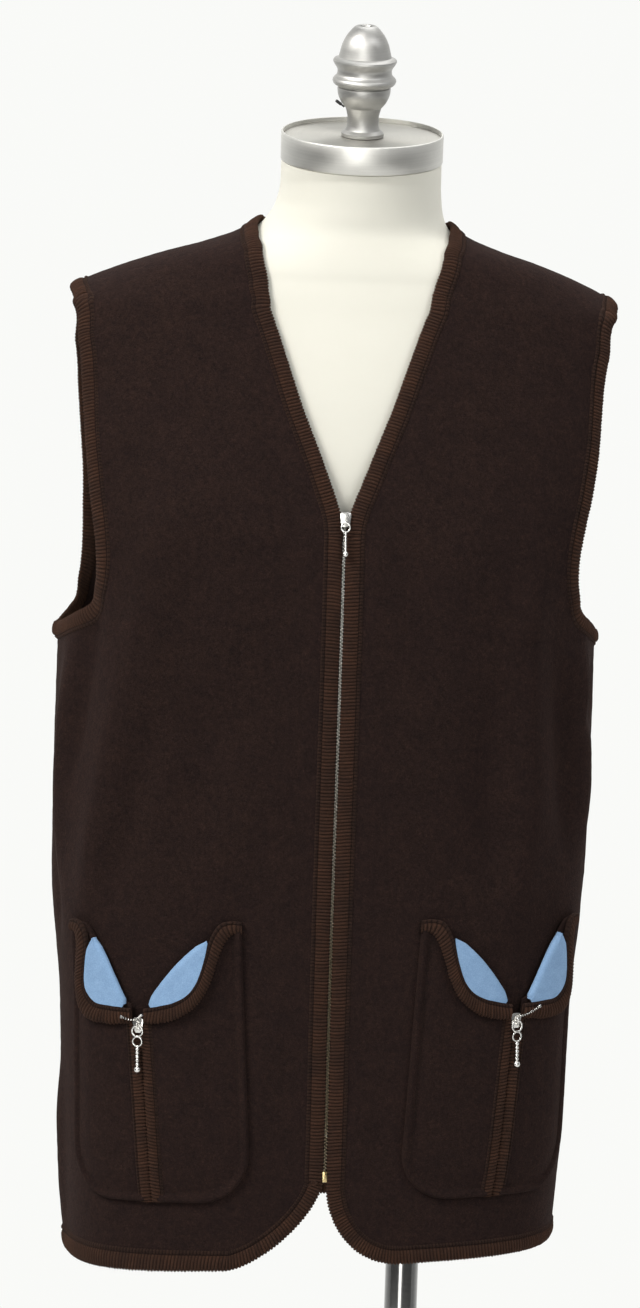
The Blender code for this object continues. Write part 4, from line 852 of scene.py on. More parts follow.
def brushed_finish(name, low, high, roughness, scale, strength=0.3):
    """Metal brushed round its axis: fine lines that change with the height and the radius."""
    made = Finish(name, high, roughness[0], 1.0, Anisotropic=0.55)
    lines = made.noise(1.0, 5.0, 0.75, place=made.place((6.0, scale, scale), "thread"))
    cloud = made.noise(45.0, 3.0, 0.5)
    tone = made.times(made.ramp(lines, ((0.3, low), (0.7, high))),
                      (cloud, ((0.3, (0.93, 0.93, 0.93)), (0.7, (1.0, 1.0, 1.0)))))
    return made.finished(tone, (lines, *roughness), ((lines, 0.00012, strength),))


# Each finish: its slot and its material
FINISHES = {
    "wool": ("wool", wool_finish()),
    "edging": ("edging", edging_finish()),
    "stitching": ("edging", grained_finish(
        "stitch_thread", (0.016, 0.0085, 0.0065), 0.9, (1700.0, 4.0, 0.65),
        ((0.30, (0.0075, 0.0042, 0.0034)), (0.70, (0.0260, 0.0140, 0.0105))), (0.84, 0.97), (0.0003, 0.5),
        Specular_IOR_Level=0.14)),
    "felt": ("felt", felt_finish()),
    "tape": ("tape", tape_finish()),
    "silver": ("silver", metal_finish("plated_silver", (0.74, 0.73, 0.70), (0.93, 0.92, 0.89), (0.16, 0.28))),
    # The zip's teeth get painted shade toward the zip's foot: a dark brown mixed in below 1.13 m, fullest
    # below 0.84 m.
    "teeth": ("silver", metal_finish("zip_teeth_metal", (0.82, 0.81, 0.77), (0.96, 0.95, 0.92), (0.20, 0.34),
                                     (0.84, 1.13, (0.21, 0.155, 0.080)))),
    "brass": ("silver", metal_finish("brass_box", (0.50, 0.38, 0.18), (0.72, 0.57, 0.30), (0.20, 0.34))),
    "rim": ("steel", brushed_finish("brushed_rim", (0.66, 0.655, 0.62), (0.84, 0.83, 0.79), (0.34, 0.48),
                                    5200.0)),
    "finial": ("steel", brushed_finish("turned_finial", (0.44, 0.436, 0.418), (0.58, 0.575, 0.555),
                                       (0.36, 0.50), 3600.0)),
    "disc": ("jersey", brushed_finish("cap_disc", (0.46, 0.45, 0.415), (0.57, 0.56, 0.52), (0.42, 0.56),
                                      2600.0)),
    "chrome": ("steel", brushed_finish("chrome_tube", (0.29, 0.29, 0.287), (0.38, 0.38, 0.377), (0.08, 0.16),
                                       2200.0, 0.08)),
    "plate": ("steel", brushed_finish("base_steel", (0.52, 0.52, 0.51), (0.70, 0.70, 0.69), (0.26, 0.42),
                                      2600.0)),
    "jersey": ("jersey", jersey_finish()),
    "black": ("black", grained_finish(
        "black_lever", (0.02, 0.02, 0.02), 0.45, (1200.0, 4.0, 0.6),
        ((0.3, (0.012, 0.012, 0.013)), (0.7, (0.03, 0.03, 0.031))), (0.38, 0.55), (0.0001, 0.3))),
}


# Meshes


def linked(name, data):
    """An object in the scene."""
    made = bpy.data.objects.new(name, data)
    bpy.context.scene.collection.objects.link(made)
    return made


def quads(rows, count, wrap_rows=False, wrap_columns=False):
    """Index quads of a grid of rows by count points."""
    i = np.arange(rows if wrap_rows else rows - 1)[:, None]
    k = np.arange(count if wrap_columns else count - 1)[None]
    j = (i + 1) % rows
    m = (k + 1) % count
    return np.stack([i * count + k, i * count + m, j * count + m, j * count + k], -1).reshape(-1, 4)


def swept(rows, count, loop=False):
    """Faces of a closed section swept through rows, with closed ends or as a loop."""
    ends = [] if loop else [list(range(count)), list(range((rows - 1) * count, rows * count))]
    return quads(rows, count, loop, wrap_columns=True).tolist() + ends


def piece(node, word, points, faces, finish, body="root", sharp=40, thread=None, alone=False):
    """A mesh object named by a node and a word, which shows in that node's place unless it is alone."""
    name = f"{node}_{word}"
    mesh = bpy.data.meshes.new(name)
    mesh.from_pydata(np.asarray(points).reshape(-1, 3).tolist(), [], [tuple(f) for f in faces])
    bm = bmesh.new()
    bm.from_mesh(mesh)
    bmesh.ops.recalc_face_normals(bm, faces=bm.faces)
    bm.to_mesh(mesh)
    bm.free()
    mesh.shade_smooth()
    if sharp:
        mesh.set_sharp_from_angle(angle=math.radians(sharp))
    if thread is not None:
        layer = mesh.attributes.new("thread", "FLOAT_VECTOR", "POINT")
        layer.data.foreach_set("vector", np.asarray(thread, np.float32).reshape(-1))
    slot, material = FINISHES[finish]
    mesh.materials.append(material)
    made = linked(name, mesh)
    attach(made, body)
    if not alone:
        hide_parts(node)
    return made


def shell(node, word, inner, outer, finish, thread=None, sharp=50):
    """A closed sheet between two grids of points."""
    rows, count = inner.shape[:2]
    size = rows * count
    both = quads(rows, count)
    faces = [both, both[:, ::-1] + size]
    i = np.arange(rows - 1)
    k = np.arange(count - 1)
    for first, second in (
        (i * count, (i + 1) * count),
        (i * count + count - 1, (i + 1) * count + count - 1),
        (k, k + 1),
        ((rows - 1) * count + k, (rows - 1) * count + k + 1),
    ):
        faces.append(np.stack([first, second, second + size, first + size], 1))
    points = np.concatenate([inner.reshape(-1, 3), outer.reshape(-1, 3)])
    if thread is not None:
        thread = np.concatenate([thread.reshape(-1, 3)] * 2)
    return piece(node, word, points, np.concatenate(faces).tolist(), finish, sharp=sharp, thread=thread)


def ribbed_tube(node, grid, thread, loop=False):
    """An edging: its closed section swept through the rows of a grid."""
    return piece(node, "ribs", grid, swept(*grid.shape[:2], loop), "edging", sharp=None, thread=thread)


def joined(node, word, bits, finish, body="root", sharp=35, alone=False):
    """One piece from several sets of points and faces."""
    points = []
    faces = []
    for some_points, some_faces in bits:
        start = len(points)
        points += list(some_points)
        faces += [[start + i for i in face] for face in some_faces]
    return piece(node, word, points, faces, finish, body, sharp, alone=alone)


def roughened(points, amount=FELTING, size=0.004):
    """Points moved a little each way, as felted cloth is uneven."""
    flat = points.reshape(-1, 3)
    moved = np.array([noise.noise_vector(Vector(p) / size) for p in flat]) * amount
    return points + moved.reshape(points.shape)


# The cloth's places


def across_rows(bottom, top, left, right, power=1.0, u=None, v=None):
    """A grid whose four borders are the given curves, with its inside blended from them."""
    u = (np.linspace(0, 1, len(bottom)) if u is None else u)[None, :, None]
    v = (np.linspace(0, 1, len(left)) if v is None else v)[:, None, None] ** power
    between_sides = (1 - u) * left[:, None] + u * right[:, None]
    between_ends = (1 - v) * bottom[None] + v * top[None]
    corners = (1 - v) * ((1 - u) * bottom[0] + u * bottom[-1]) + v * ((1 - u) * top[0] + u * top[-1])
    return between_sides + between_ends - corners


def over_skin(bottom, top, left, right):
    """across_rows on the cloth's skin: borders blend in space, then each inside place goes to the skin."""
    borders = (bottom, top, left, right)
    blended = across_rows(*(CLOTH.points(*border.T) for border in borders), power=3.0)
    grid = np.empty(blended.shape[:2] + (2,))
    grid[1:-1, 1:-1] = CLOTH.nearest(blended[1:-1, 1:-1])
    grid[0] = bottom
    grid[-1] = top
    grid[:, 0] = left
    grid[:, -1] = right
    return grid


def front_edge(name):
    """A front's free edge: from the shoulder down the V neck and zip, round the corner and along the hem.

    Given with the index of the place where the hem starts.
    """
    height, half_width = np.array(NECKLINE).T
    points = [(SIDE_ANGLE, NECK_POINT)] + list(zip(CLOTH.angle_at_side(half_width, height), height))
    upper = spline(points, 400)
    zip_heights = np.linspace(NECKLINE[-1][0], ZIP_FOOT, 300)[1:]
    slot = np.full(zip_heights.shape, ZIP_SLOT)
    straight = np.stack([CLOTH.angle_at_side(slot, zip_heights), zip_heights], 1)
    turn = np.linspace(0, SIDE_ANGLE, 120)[1:]
    width, power = CORNERS[name]
    corner_across = ZIP_SLOT + width * (1 - np.abs(np.cos(turn)) ** (2 / power))
    corner_height = ZIP_FOOT - (ZIP_FOOT - HEM) * np.sin(turn) ** (2 / power)
    corner = np.stack([CLOTH.angle_at_side(corner_across, corner_height), corner_height], 1)
    hem_angles = np.linspace(corner[-1, 0], SIDE_ANGLE, 160)[1:]
    hem = np.stack([hem_angles, np.full(hem_angles.shape, HEM)], 1)
    before = np.vstack([upper, straight, corner])
    return np.vstack([before, hem]), len(before) - 1


def back_neck_edge():
    """The back neck, from the left shoulder seam to the right one."""
    share_at, heights = np.array(BACK_NECK).T
    share = np.linspace(0, 1, 120)
    height = smooth(share_at, heights, share)
    left = np.stack([SIDE_ANGLE + share * SIDE_ANGLE, height], 1)
    right = np.stack([2 * math.pi - left[::-1, 0], left[::-1, 1]], 1)
    return np.vstack([left, right[1:]])


def back_hem_edge():
    """The back hem, from the left side seam to the right one, a little higher at the centre back."""
    share = np.linspace(0, 1, 301)
    angle = math.pi + SIDE_ANGLE * (2 * share - 1)
    height = HEM + (BACK_HEM - HEM) * np.sin(math.pi * share) ** 2
    return np.stack([angle, height], 1)


def armhole_edge():
    """The left armhole as one loop: shoulder tip, down the front, under the arm and up the back.

    Given with the index of its lowest place.
    """
    height, front, back = np.array(ARMHOLE).T
    front = CLOTH.angle_at_side(front, height)
    back = math.pi - CLOTH.angle_at_side(back, height)
    loop = [(SIDE_ANGLE, SHOULDER_TIP)] + list(zip(front, height)) + [(SIDE_ANGLE, UNDERARM)]
    loop += list(zip(back, height))[::-1]
    return spline(loop, 40 * len(loop) + 1, closed=True), 20 * len(loop)


def within(curve, low, high):
    """The curve with its angles held between two seams."""
    curve = curve.copy()
    curve[..., 0] = np.clip(curve[..., 0], low, high)
    return curve


def closed_inset(loop, width):
    """inset for a loop whose last point repeats its first."""
    overlap = 12
    longer = np.vstack([loop[-overlap - 1 : -1], loop, loop[1 : overlap + 1]])
    return CLOTH.inset(longer, width)[overlap:-overlap]


def pick(curve, index):
    """The curve's places at fractional indexes."""
    return path_at(curve, np.arange(len(curve)), index)


def stations(curve, first, last, count):
    """Indexes of count even steps along a dense curve."""
    run = CLOTH.run(curve[first : last + 1])
    return np.interp(np.linspace(0, run[-1], count + 1), run, np.arange(first, last + 1))


def seam_line(start, end, steps):
    """A straight run of (angle, height) between two places, at even steps of the real length."""
    t = np.linspace(0, 1, 120)[:, None]
    return CLOTH.spaced((1 - t) * np.asarray(start) + t * np.asarray(end), np.linspace(0, 1, steps + 1))


FRONT_EDGES = {name: front_edge(name) for name, _ in SIDES}
ARM_LOOP, ARM_LOWEST = armhole_edge()
ARM_FRONT = stations(ARM_LOOP, 0, ARM_LOWEST, ROWS_ABOVE)
ARM_BACK = stations(ARM_LOOP, ARM_LOWEST, len(ARM_LOOP) - 1, ROWS_ABOVE)


def front_grid(name):
    """The front panel's places, from the hem up to the shoulder seam, under its edging near the free edge."""
    edge, corner = FRONT_EDGES[name]
    reached = pick(closed_inset(ARM_LOOP, -PANEL_INSET), ARM_FRONT)[:, 1]
    share = (reached - reached[-1]) / (reached[0] - reached[-1])
    level = reached[-1]
    heights = level + share * (NECK_POINT - level)
    upper = np.interp(-heights, -edge[: corner + 1, 1], np.arange(corner + 1))
    lower = stations(edge, int(round(upper[-1])), corner, ROWS_BELOW)
    lower[0] = upper[-1]
    hem = stations(edge, corner, len(edge) - 1, FRONT_COLUMNS)
    edge = within(CLOTH.inset(edge, PANEL_INSET), 0, SIDE_ANGLE)
    loop = within(closed_inset(ARM_LOOP, -PANEL_INSET), 0, SIDE_ANGLE)
    left = np.vstack([pick(edge, lower[::-1]), pick(edge, upper[::-1][1:])])
    left[-1, 0] = SIDE_ANGLE
    bottom = pick(edge, hem)
    bottom[-1, 0] = SIDE_ANGLE
    arm_border = pick(loop, ARM_FRONT[::-1])
    right = np.vstack([seam_line(bottom[-1], (SIDE_ANGLE, arm_border[0, 1]), ROWS_BELOW), arm_border[1:]])
    right[-1, 0] = SIDE_ANGLE
    top = seam_line(left[-1], right[-1], FRONT_COLUMNS)
    return over_skin(bottom, top, left, right)


def back_grid():
    """The back panel's places, from the hem up to the shoulder seams and the back neck."""
    seam = SIDE_ANGLE
    loop = within(closed_inset(ARM_LOOP, -PANEL_INSET), seam, math.pi)
    neck = within(CLOTH.inset(back_neck_edge(), -PANEL_INSET), seam, 2 * math.pi - seam)
    hem = within(CLOTH.inset(back_hem_edge(), PANEL_INSET), seam, 2 * math.pi - seam)
    neck = pick(neck, np.linspace(0, len(neck) - 1, NECK_COLUMNS + 1))
    hem = pick(hem, np.linspace(0, len(hem) - 1, BACK_COLUMNS + 1))
    neck[[0, -1], 0] = seam, 2 * math.pi - seam
    hem[[0, -1], 0] = seam, 2 * math.pi - seam
    arm_border = pick(loop, ARM_BACK)
    left = np.vstack([seam_line(hem[0], (seam, arm_border[0, 1]), ROWS_BELOW), arm_border[1:]])
    left[-1, 0] = seam
    right = left * (-1, 1) + (2 * math.pi, 0)
    first = seam_line(left[-1], neck[0], SHOULDER_COLUMNS)
    last = first[::-1] * (-1, 1) + (2 * math.pi, 0)
    top = np.vstack([first, neck[1:-1], last])
    return over_skin(hem, top, left, right)


def seam_dip(grid):
    """The groove that a sewn side or shoulder seam draws into the cloth's outer face."""
    off = np.abs(np.abs((grid[..., 0] + math.pi) % (2 * math.pi) - math.pi) - SIDE_ANGLE)
    side = CLOTH.ring("side", grid[..., 1])
    depth = 0.5 * (CLOTH.ring("front", grid[..., 1]) + CLOTH.ring("back", grid[..., 1]))
    near_top = eased(grid[..., 1], *SHOULDER_LEVELS)
    distance = off * ((1 - near_top) * depth + near_top * side * SHOULDER_RUN)
    return SEAM_DIP * np.exp(-((distance / SEAM_REACH) ** 2))


def make_panels():
    grids = {"front_" + name: (front_grid(name), side) for name, side in SIDES}
    grids["back"] = (back_grid(), 1.0)
    made = {}
    for node, (grid, side) in grids.items():
        dip = seam_dip(grid)
        inner = roughened(laid(grid, 0.5 * dip, side))
        outer = roughened(laid(grid, WALL - dip, side))
        made[node] = shell(node, "cloth", inner, outer, "wool")
    return made


# Ribbed edging: share across from the free edge to the border, distance outside the cloth's inner face, and
# how far a rib stands out there across and outward. The last column is 1 on the chain along the border.
SECTION = (
    (1.040, 0.0012, 0.0000, 0.0000, 1.0),
    (1.000, 0.0021, 0.0000, 0.0002, 1.0),
    (0.930, 0.0025, 0.0000, 0.0007, 1.0),
    (0.860, 0.0025, 0.0000, 0.0007, 1.0),
    (0.800, 0.0019, 0.0000, 0.0001, 0.5),
    (0.740, 0.0023, 0.0000, 0.0006, 0.0),
    (0.600, 0.0026, 0.0000, 0.0011, 0.0),
    (0.400, 0.0026, 0.0000, 0.0012, 0.0),
    (0.200, 0.0023, 0.0000, 0.0011, 0.0),
    (0.040, 0.0016, -0.0006, 0.0007, 0.0),
    (-0.020, 0.0007, -0.0011, 0.0000, 0.0),
    (0.050, -0.0001, -0.0004, -0.0004, 0.0),
    (0.300, -0.0005, 0.0000, -0.0004, 0.0),
    (0.700, -0.0005, 0.0000, -0.0003, 0.0),
    (1.000, 0.0003, 0.0000, 0.0000, 0.0),
)


def rib_profile(rows, seed):
    """1 on the crest of each rib and 0 between two, with small differences from rib to rib."""
    draw = random.Random(seed)
    phase = np.arange(rows) / RIB_ROWS
    size = np.array([draw.uniform(*RIB_SIZES) for _ in range(rows // RIB_ROWS + 2)])
    return np.abs(np.cos(math.pi * phase)) ** RIB_FULLNESS * size[np.round(phase).astype(int)]


def rib_bend(rows, seed):
    """How far the ribs bow along the edging at each row, as a share of a rib."""
    draw = random.Random(seed + 500)
    some_rows = np.arange(rows)[:: BEND_RIBS * RIB_ROWS]
    return np.interp(np.arange(rows), some_rows, [draw.uniform(*BEND_SHARES) for _ in some_rows])


def ribbed(free, border, length, width, seed, extra=0.0, rise=0.0):
    """(grid of places, distances, thread coordinates) of an edging's sections.

    free and border are curves sampled at even steps of the real length.
    """
    rows = len(free)
    share, level, rib_across, rib_out, chain = np.array(SECTION).T
    on_chain = (chain > 0.4)[None]
    steps = np.arange(rows)[:, None]
    bend = rib_bend(rows, seed)[:, None]
    leaning = steps + RIB_ROWS * (RIB_LEAN * share[None] + bend * share[None] * (1 - share[None]))
    leaning = np.where(on_chain, steps + RIB_ROWS / 2, leaning)
    rib = np.interp(leaning, steps[:, 0], rib_profile(rows, seed), period=rows)
    t = share[None] + rib_across[None] / width * rib
    grid = free[:, None] + (border - free)[:, None] * t[..., None]
    outer = (level > 0.0012)[None]
    raised = np.asarray(rise).reshape(-1, 1) * (1 - eased(share, 0.70, 1.0))[None]
    distance = level[None] + rib_out[None] * rib + np.where(outer, extra + raised, 0)
    along = np.linspace(0, length, rows)[:, None] + 0 * t
    # The third thread coordinate is the rib's height, signed on the chain; the edging's material turns it
    # into painted shade between ribs.
    thread = np.stack([along, share[None] * width + 0 * t, rib * np.where(on_chain, -1.0, 1.0)], -1)
    return grid, distance, thread


def rib_count(length):
    """Rows for whole ribs of about the pitch."""
    return max(1, int(round(length / RIB_PITCH))) * RIB_ROWS + 1


def skin_edging(node, free, border, seed, side=1.0, limits=None, loop=False):
    """A ribbed edging between two dense curves of the skin. A loop has a knob under the arm."""
    run = CLOTH.run(free)
    rows = rib_count(run[-1])
    at = np.interp(np.linspace(0, run[-1], rows), run, np.arange(len(free)))
    if loop:
        at = at[:-1]
    free = pick(free, at)
    border = pick(border, at)
    rise = 0.0
    if loop:
        away = np.linalg.norm(CLOTH.points(*free.T) - CLOTH.points(SIDE_ANGLE, UNDERARM), axis=1)
        rise = KNOB_RISE * np.exp(-((away / KNOB_REACH) ** 2))
    grid, distance, thread = ribbed(free, border, run[-1], TRIM_WIDTH, seed, rise=rise)
    if limits:
        grid = within(grid, *limits)
        grid[0, :, 0], grid[-1, :, 0] = limits
    return ribbed_tube(node, laid(grid, distance, side), thread, loop)


def make_trims():
    made = {}
    for index, (name, side) in enumerate(SIDES):
        node = f"front_trim_{name}"
        edge = FRONT_EDGES[name][0]
        border = CLOTH.inset(edge, TRIM_WIDTH)
        border[[0, -1], 0] = SIDE_ANGLE
        made[node] = skin_edging(node, edge, within(border, 0, SIDE_ANGLE), 11 + index, side)
    half_round = (SIDE_ANGLE, 3 * SIDE_ANGLE)
    for node, edge, width, seed in (
        ("neck_trim_back", back_neck_edge(), -TRIM_WIDTH, 21),
        ("hem_trim_back", back_hem_edge(), TRIM_WIDTH, 22),
    ):
        made[node] = skin_edging(node, edge, CLOTH.inset(edge, width), seed, limits=half_round)
    border = closed_inset(ARM_LOOP, -TRIM_WIDTH)
    for index, (name, side) in enumerate(SIDES):
        node = f"armhole_trim_{name}"
        made[node] = skin_edging(node, ARM_LOOP, border, 31 + index, side, loop=True)
    return made


# Front zip


def zip_run(across, rows, foot, head):
    """A straight strip beside the centre front: columns at the given distances from it."""
    heights = np.linspace(foot, head, rows)[:, None] + np.zeros(len(across))
    distance = np.zeros(heights.shape) + np.asarray(across)
    return np.stack([CLOTH.angle_at_side(np.abs(distance), heights) * np.sign(distance), heights], -1)


def moved(x, y, z):
    return Matrix.Translation((x, y, z))


def taken(bm, place):
    """The points and faces of a bmesh set at a place. The bmesh is freed."""
    bm.transform(place)
    bm.verts.ensure_lookup_table()
    points = [tuple(v.co) for v in bm.verts]
    faces = [[v.index for v in f.verts] for f in bm.faces]
    bm.free()
    return points, faces


def block(size, place, bevel, segments=1):
    """The points and faces of a small box with worn edges."""
    bm = bmesh.new()
    bmesh.ops.create_cube(bm, size=1.0, matrix=Matrix.Diagonal((*size, 1.0)))
    bmesh.ops.bevel(bm, geom=bm.edges[:], offset=bevel, segments=segments, profile=0.5, affect="EDGES")
    return taken(bm, place)


def slider_place(angle, height, side, distance):
    """Axes at a place outside the skin: across, up along the cloth, and out of it."""
    angle = side * angle
    out = Vector(CLOTH.normals(angle, height))
    across = Vector(CLOTH.slopes(angle, height)[0]).normalized()
    up = out.cross(across).normalized()
    place = Matrix((across, up, out)).transposed().to_4x4()
    place.translation = Vector(CLOTH.points(angle, height)) + out * distance
    return place


def make_zip():
    made = {}
    across = np.linspace(TEETH_HALF * 0.5, TEETH_HALF + TAPE_WIDTH, 9)
    run = zip_run(across, 90, ZIP_FOOT, ZIP_HEAD)
    thread = np.stack([np.broadcast_to(across, run.shape[:2]), run[..., 1], 0 * run[..., 1]], -1)
    for name, side in SIDES:
        node = f"zip_tape_{name}"
        inner, outer = (laid(run, distance, side) for distance in (TAPE_INNER, TAPE_OUTER))
        made[node] = shell(node, "weave", inner, outer, "tape", thread)
    bits = []
    foot = ZIP_FOOT + BOX_LENGTH + TOUCH_GAP
    for index in range(int((ZIP_HEAD - foot - 0.001) / (TOOTH_PITCH / 2))):
        side = 1 if index % 2 else -1
        place = slider_place(0.0, foot + FIRST_TOOTH + index * TOOTH_PITCH / 2, 1.0, TEETH_LEVEL)
        bits += [block(size, place @ moved(side * off, 0, 0), bevel) for size, off, bevel in TOOTH]
    joined("zip_teeth", "row", bits, "teeth")
    place = slider_place(0.0, ZIP_FOOT + BOX_LENGTH / 2, 1.0, 0.0001)
    bits = [block(size, place @ moved(0, up, 0), bevel, 2) for size, up, bevel in BOX]
    joined("zip_box", "metal", bits, "brass")
    return made


# Sliders and pulls


def ring_shape(radius, wire, place, segments=40, sides=12):
    """A torus in the XY plane of a place."""
    a = np.linspace(0, 2 * math.pi, segments, endpoint=False)[:, None]
    b = np.linspace(0, 2 * math.pi, sides, endpoint=False)[None]
    r = radius + wire * np.cos(b)
    points = np.stack([r * np.cos(a), r * np.sin(a), wire * np.sin(b) + 0 * a], -1).reshape(-1, 3)
    return [place @ Vector(p) for p in points], swept(segments, sides, True)


def ball_shape(radius, place, segments=20):
    bm = bmesh.new()
    bmesh.ops.create_uvsphere(bm, u_segments=segments, v_segments=segments // 2, radius=radius)
    return taken(bm, place)


def outline_plate(outline, thickness, place, bevel):
    """A flat plate of the given outline with rounded edges."""
    bm = bmesh.new()
    face = bm.faces.new([bm.verts.new((x, y, 0.0)) for x, y in outline])
    top = bmesh.ops.extrude_face_region(bm, geom=[face])["geom"]
    top = [v for v in top if isinstance(v, bmesh.types.BMVert)]
    bmesh.ops.translate(bm, vec=(0, 0, thickness), verts=top)
    flat = [e for e in bm.edges if abs(e.verts[0].co.z - e.verts[1].co.z) < 1e-7]
    bmesh.ops.bevel(bm, geom=flat, offset=bevel, segments=2, profile=0.5, affect="EDGES")
    return taken(bm, place)


def slider_outline():
    """The shield shape of a slider's plate: broad shoulders at the top and a narrower foot."""
    right = spline(SLIDER_SHIELD, 22)
    left = right[1:-1][::-1] * (-1, 1)
    return np.vstack([right, left]) * (SLIDER_WIDTH, SLIDER_LENGTH)


def make_slider(node, place, stem=0.0, bail_drop=0.0):
    bits = [outline_plate(slider_outline(), SLIDER_PLATE, place, PLATE_EDGE)]
    if stem > 0:
        foot = place @ moved(0, 0, (SLIDER_PLATE - stem) / 2)
        bits.append(block((*STEM, stem + SLIDER_PLATE / 2), foot, WORN_EDGE))
    for side in (-1, 1):
        wing = place @ moved(side * WING_PLACE[0], *WING_PLACE[1:])
        bits.append(block(WING, wing, WORN_EDGE, 2))
    bridge = place @ moved(0, -bail_drop, ARCH_HEIGHT) @ Matrix.Rotation(SIDE_ANGLE, 4, "Y")
    bits.append(ring_shape(BAIL_RADIUS, BAIL_WIRE, bridge))
    joined(node, "metal", bits, "silver", sharp=40)


def make_pull(node, body, place, chain, bail_drop=0.0):
    """Rings, a beaded stem and a ball, one below another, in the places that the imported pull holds."""
    pivot = place @ moved(0, -bail_drop, PIVOT_HEIGHT)
    bits = []
    drop = 0.0
    for index, (kind, size, overlap) in enumerate(chain):
        reach = size + RING_WIRE if kind == "ring" else size
        centre = drop - overlap + (size if index == 0 else reach)
        at = pivot @ moved(0, -centre, 0)
        if kind == "ring":
            bits.append(ring_shape(size, RING_WIRE, at))
        else:
            bits.append(ball_shape(size, at))
            collar = at @ moved(0, size, 0) @ Matrix.Rotation(SIDE_ANGLE, 4, "X")
            bits.append(ring_shape(*COLLAR, collar, 20, 8))
        drop = centre + reach
    joined(node, "chain", bits, "silver", body, sharp=50)


# The ends of a pocket's zip that show above its slider: places on the flat pocket, across toward its outer
# side and up from its foot, and their distance outside the front's inner face
ZIP_ENDS = {
    "right": (
        ((0.0022, 0.1400, 0.0100), (0.0060, 0.1406, 0.0116), (0.0100, 0.1422, 0.0122)),
        ((-0.0020, 0.1418, 0.0100), (-0.0042, 0.1438, 0.0112)),
    ),
    "left": (((0.0020, 0.1390, 0.0100), (0.0080, 0.1416, 0.0120), (0.0150, 0.1462, 0.0128)),),
}


def zip_end_teeth(name, side):
    """Small teeth along each end of a pocket's zip, with a stop at the last place."""
    bits = []
    for run in ZIP_ENDS[name]:
        line = spline(np.array(run)[:, :2], 40) if len(run) > 2 else np.linspace(run[0][:2], run[1][:2], 40)
        level = np.interp(np.linspace(0, 1, 40), np.linspace(0, 1, len(run)), [place[2] for place in run])
        points = pocket_laid(line, level, side)
        reach = lengths(points)
        count = max(2, int(reach[-1] / END_TOOTH_PITCH))
        for index in range(count + 1):
            at = index / count * reach[-1]
            near = path_at(points, reach, at + np.array([0.0, 0.0005, -0.0005]))
            centre, ahead, behind = (Vector(place) for place in near)
            place = (ahead - behind).to_track_quat("X", "Z").to_matrix().to_4x4()
            place.translation = centre
            bits.append(block(END_STOP if index == count else END_TOOTH, place, WORN_EDGE))
    return bits


def make_fasteners():
    distance = TRIM_RISE + SLIDER_CLEARANCE
    place = slider_place(0.0, SLIDER_HEIGHT, 1.0, distance)
    make_slider("zip_slider", place, distance - 0.0012, FRONT_BAIL_DROP)
    make_pull("zip_pull", "front_pull", place, FRONT_CHAIN, FRONT_BAIL_DROP)
    up = SLIT_TOP - SLIDER_BELOW_SLIT_TOP
    angle, height = pocket_places(np.array([0.0, up])).tolist()
    distance = POCKET_LIFT + TRIM_RISE + float(pocket_lift(0.0, up)) + SLIDER_CLEARANCE
    for name, side in SIDES:
        place = slider_place(angle, height, side, distance)
        make_slider(f"pocket_{name}_slider", place)
        make_pull(f"pocket_{name}_pull", f"pocket_{name}_pull_body", place, POCKET_CHAIN)
        joined(f"pocket_{name}_zip", "end_teeth", zip_end_teeth(name, side), "silver", sharp=40, alone=True)


# Pockets


def pocket_lift(across, up):
    """How far the pocket stands off the front between its stitched sides and foot."""
    from_side = np.clip((POCKET_HALF - np.abs(across)) / BULGE_REACH, 0, 1)
    from_foot = np.clip(up / BULGE_REACH, 0, 1)
    return POCKET_BULGE * np.sin(from_side * SIDE_ANGLE) * np.sin(from_foot * SIDE_ANGLE)


def pocket_places(flat):
    """(across, up) of the flat pocket as (angle, height) on the left front."""
    height = POCKET_FOOT + flat[..., 1]
    arc = POCKET_CENTRE + flat[..., 0] + POCKET_LEAN * flat[..., 1]
    return np.stack([CLOTH.angle_at_arc(arc, height), height], -1)


def pocket_laid(flat, distance, side):
    """Places of the flat pocket at a distance outside the front's inner face, with the pocket's own lift."""
    lift = pocket_lift(flat[..., 0], flat[..., 1])
    return laid(pocket_places(flat), distance + lift, side)


def evened(curve, count):
    """The curve of plane points at even steps of its length, or at given shares of it."""
    curve = np.asarray(curve, float)
    run = lengths(curve)
    at = np.linspace(0, run[-1], count) if np.isscalar(count) else np.asarray(count) * run[-1]
    return path_at(curve, run, at)


def graded(coarse, fine, share):
    """Steps from 0 to 1 that are finer over the first share."""
    return np.concatenate([np.linspace(0, share, fine + 1), np.linspace(share, 1, coarse + 1)[1:]])


def pocket_border(which):
    """The stitched border of a flat pocket half: along the foot, round the corner and up the side."""
    turn = np.linspace(0, SIDE_ANGLE, 40)
    centre = FOOT_HALF[which] - POCKET_ROUND
    corner = np.stack([centre + POCKET_ROUND * np.sin(turn), POCKET_ROUND * (1 - np.cos(turn))], 1)
    return np.vstack([[SLIT_GAP, 0.0], corner, PATCH_TOP[which][-1]])


def to_border(flat, border):
    """Distance from flat places to the border polyline."""
    start = border[:-1]
    way = border[1:] - start
    length = (way**2).sum(1)
    off = flat[..., None, :] - start
    t = np.clip((off * way).sum(-1) / length, 0, 1)
    return np.linalg.norm(off - t[..., None] * way, axis=-1).min(-1)


def half_pocket_flat(which):
    """One half of the pocket from its slit band to its side, below the line where its lapel turns out."""
    across = 1 - graded(*POCKET_COLUMNS)[::-1]
    rows = graded(*POCKET_ROWS)
    brim = PATCH_TOP[which]
    right = evened(pocket_border(which)[1:], rows)
    slit = SLIT_GAP + 0.5 * BAND_WIDTH
    left = evened([(slit, 0.0), (slit, brim[0][1])], rows)
    bottom = evened([(slit, 0.0), right[0]], across)
    top = evened(spline(np.vstack([(slit, brim[0][1] - BRIM_DROP), brim]), 80), across)
    return across_rows(bottom, top, left, right, u=across, v=rows)


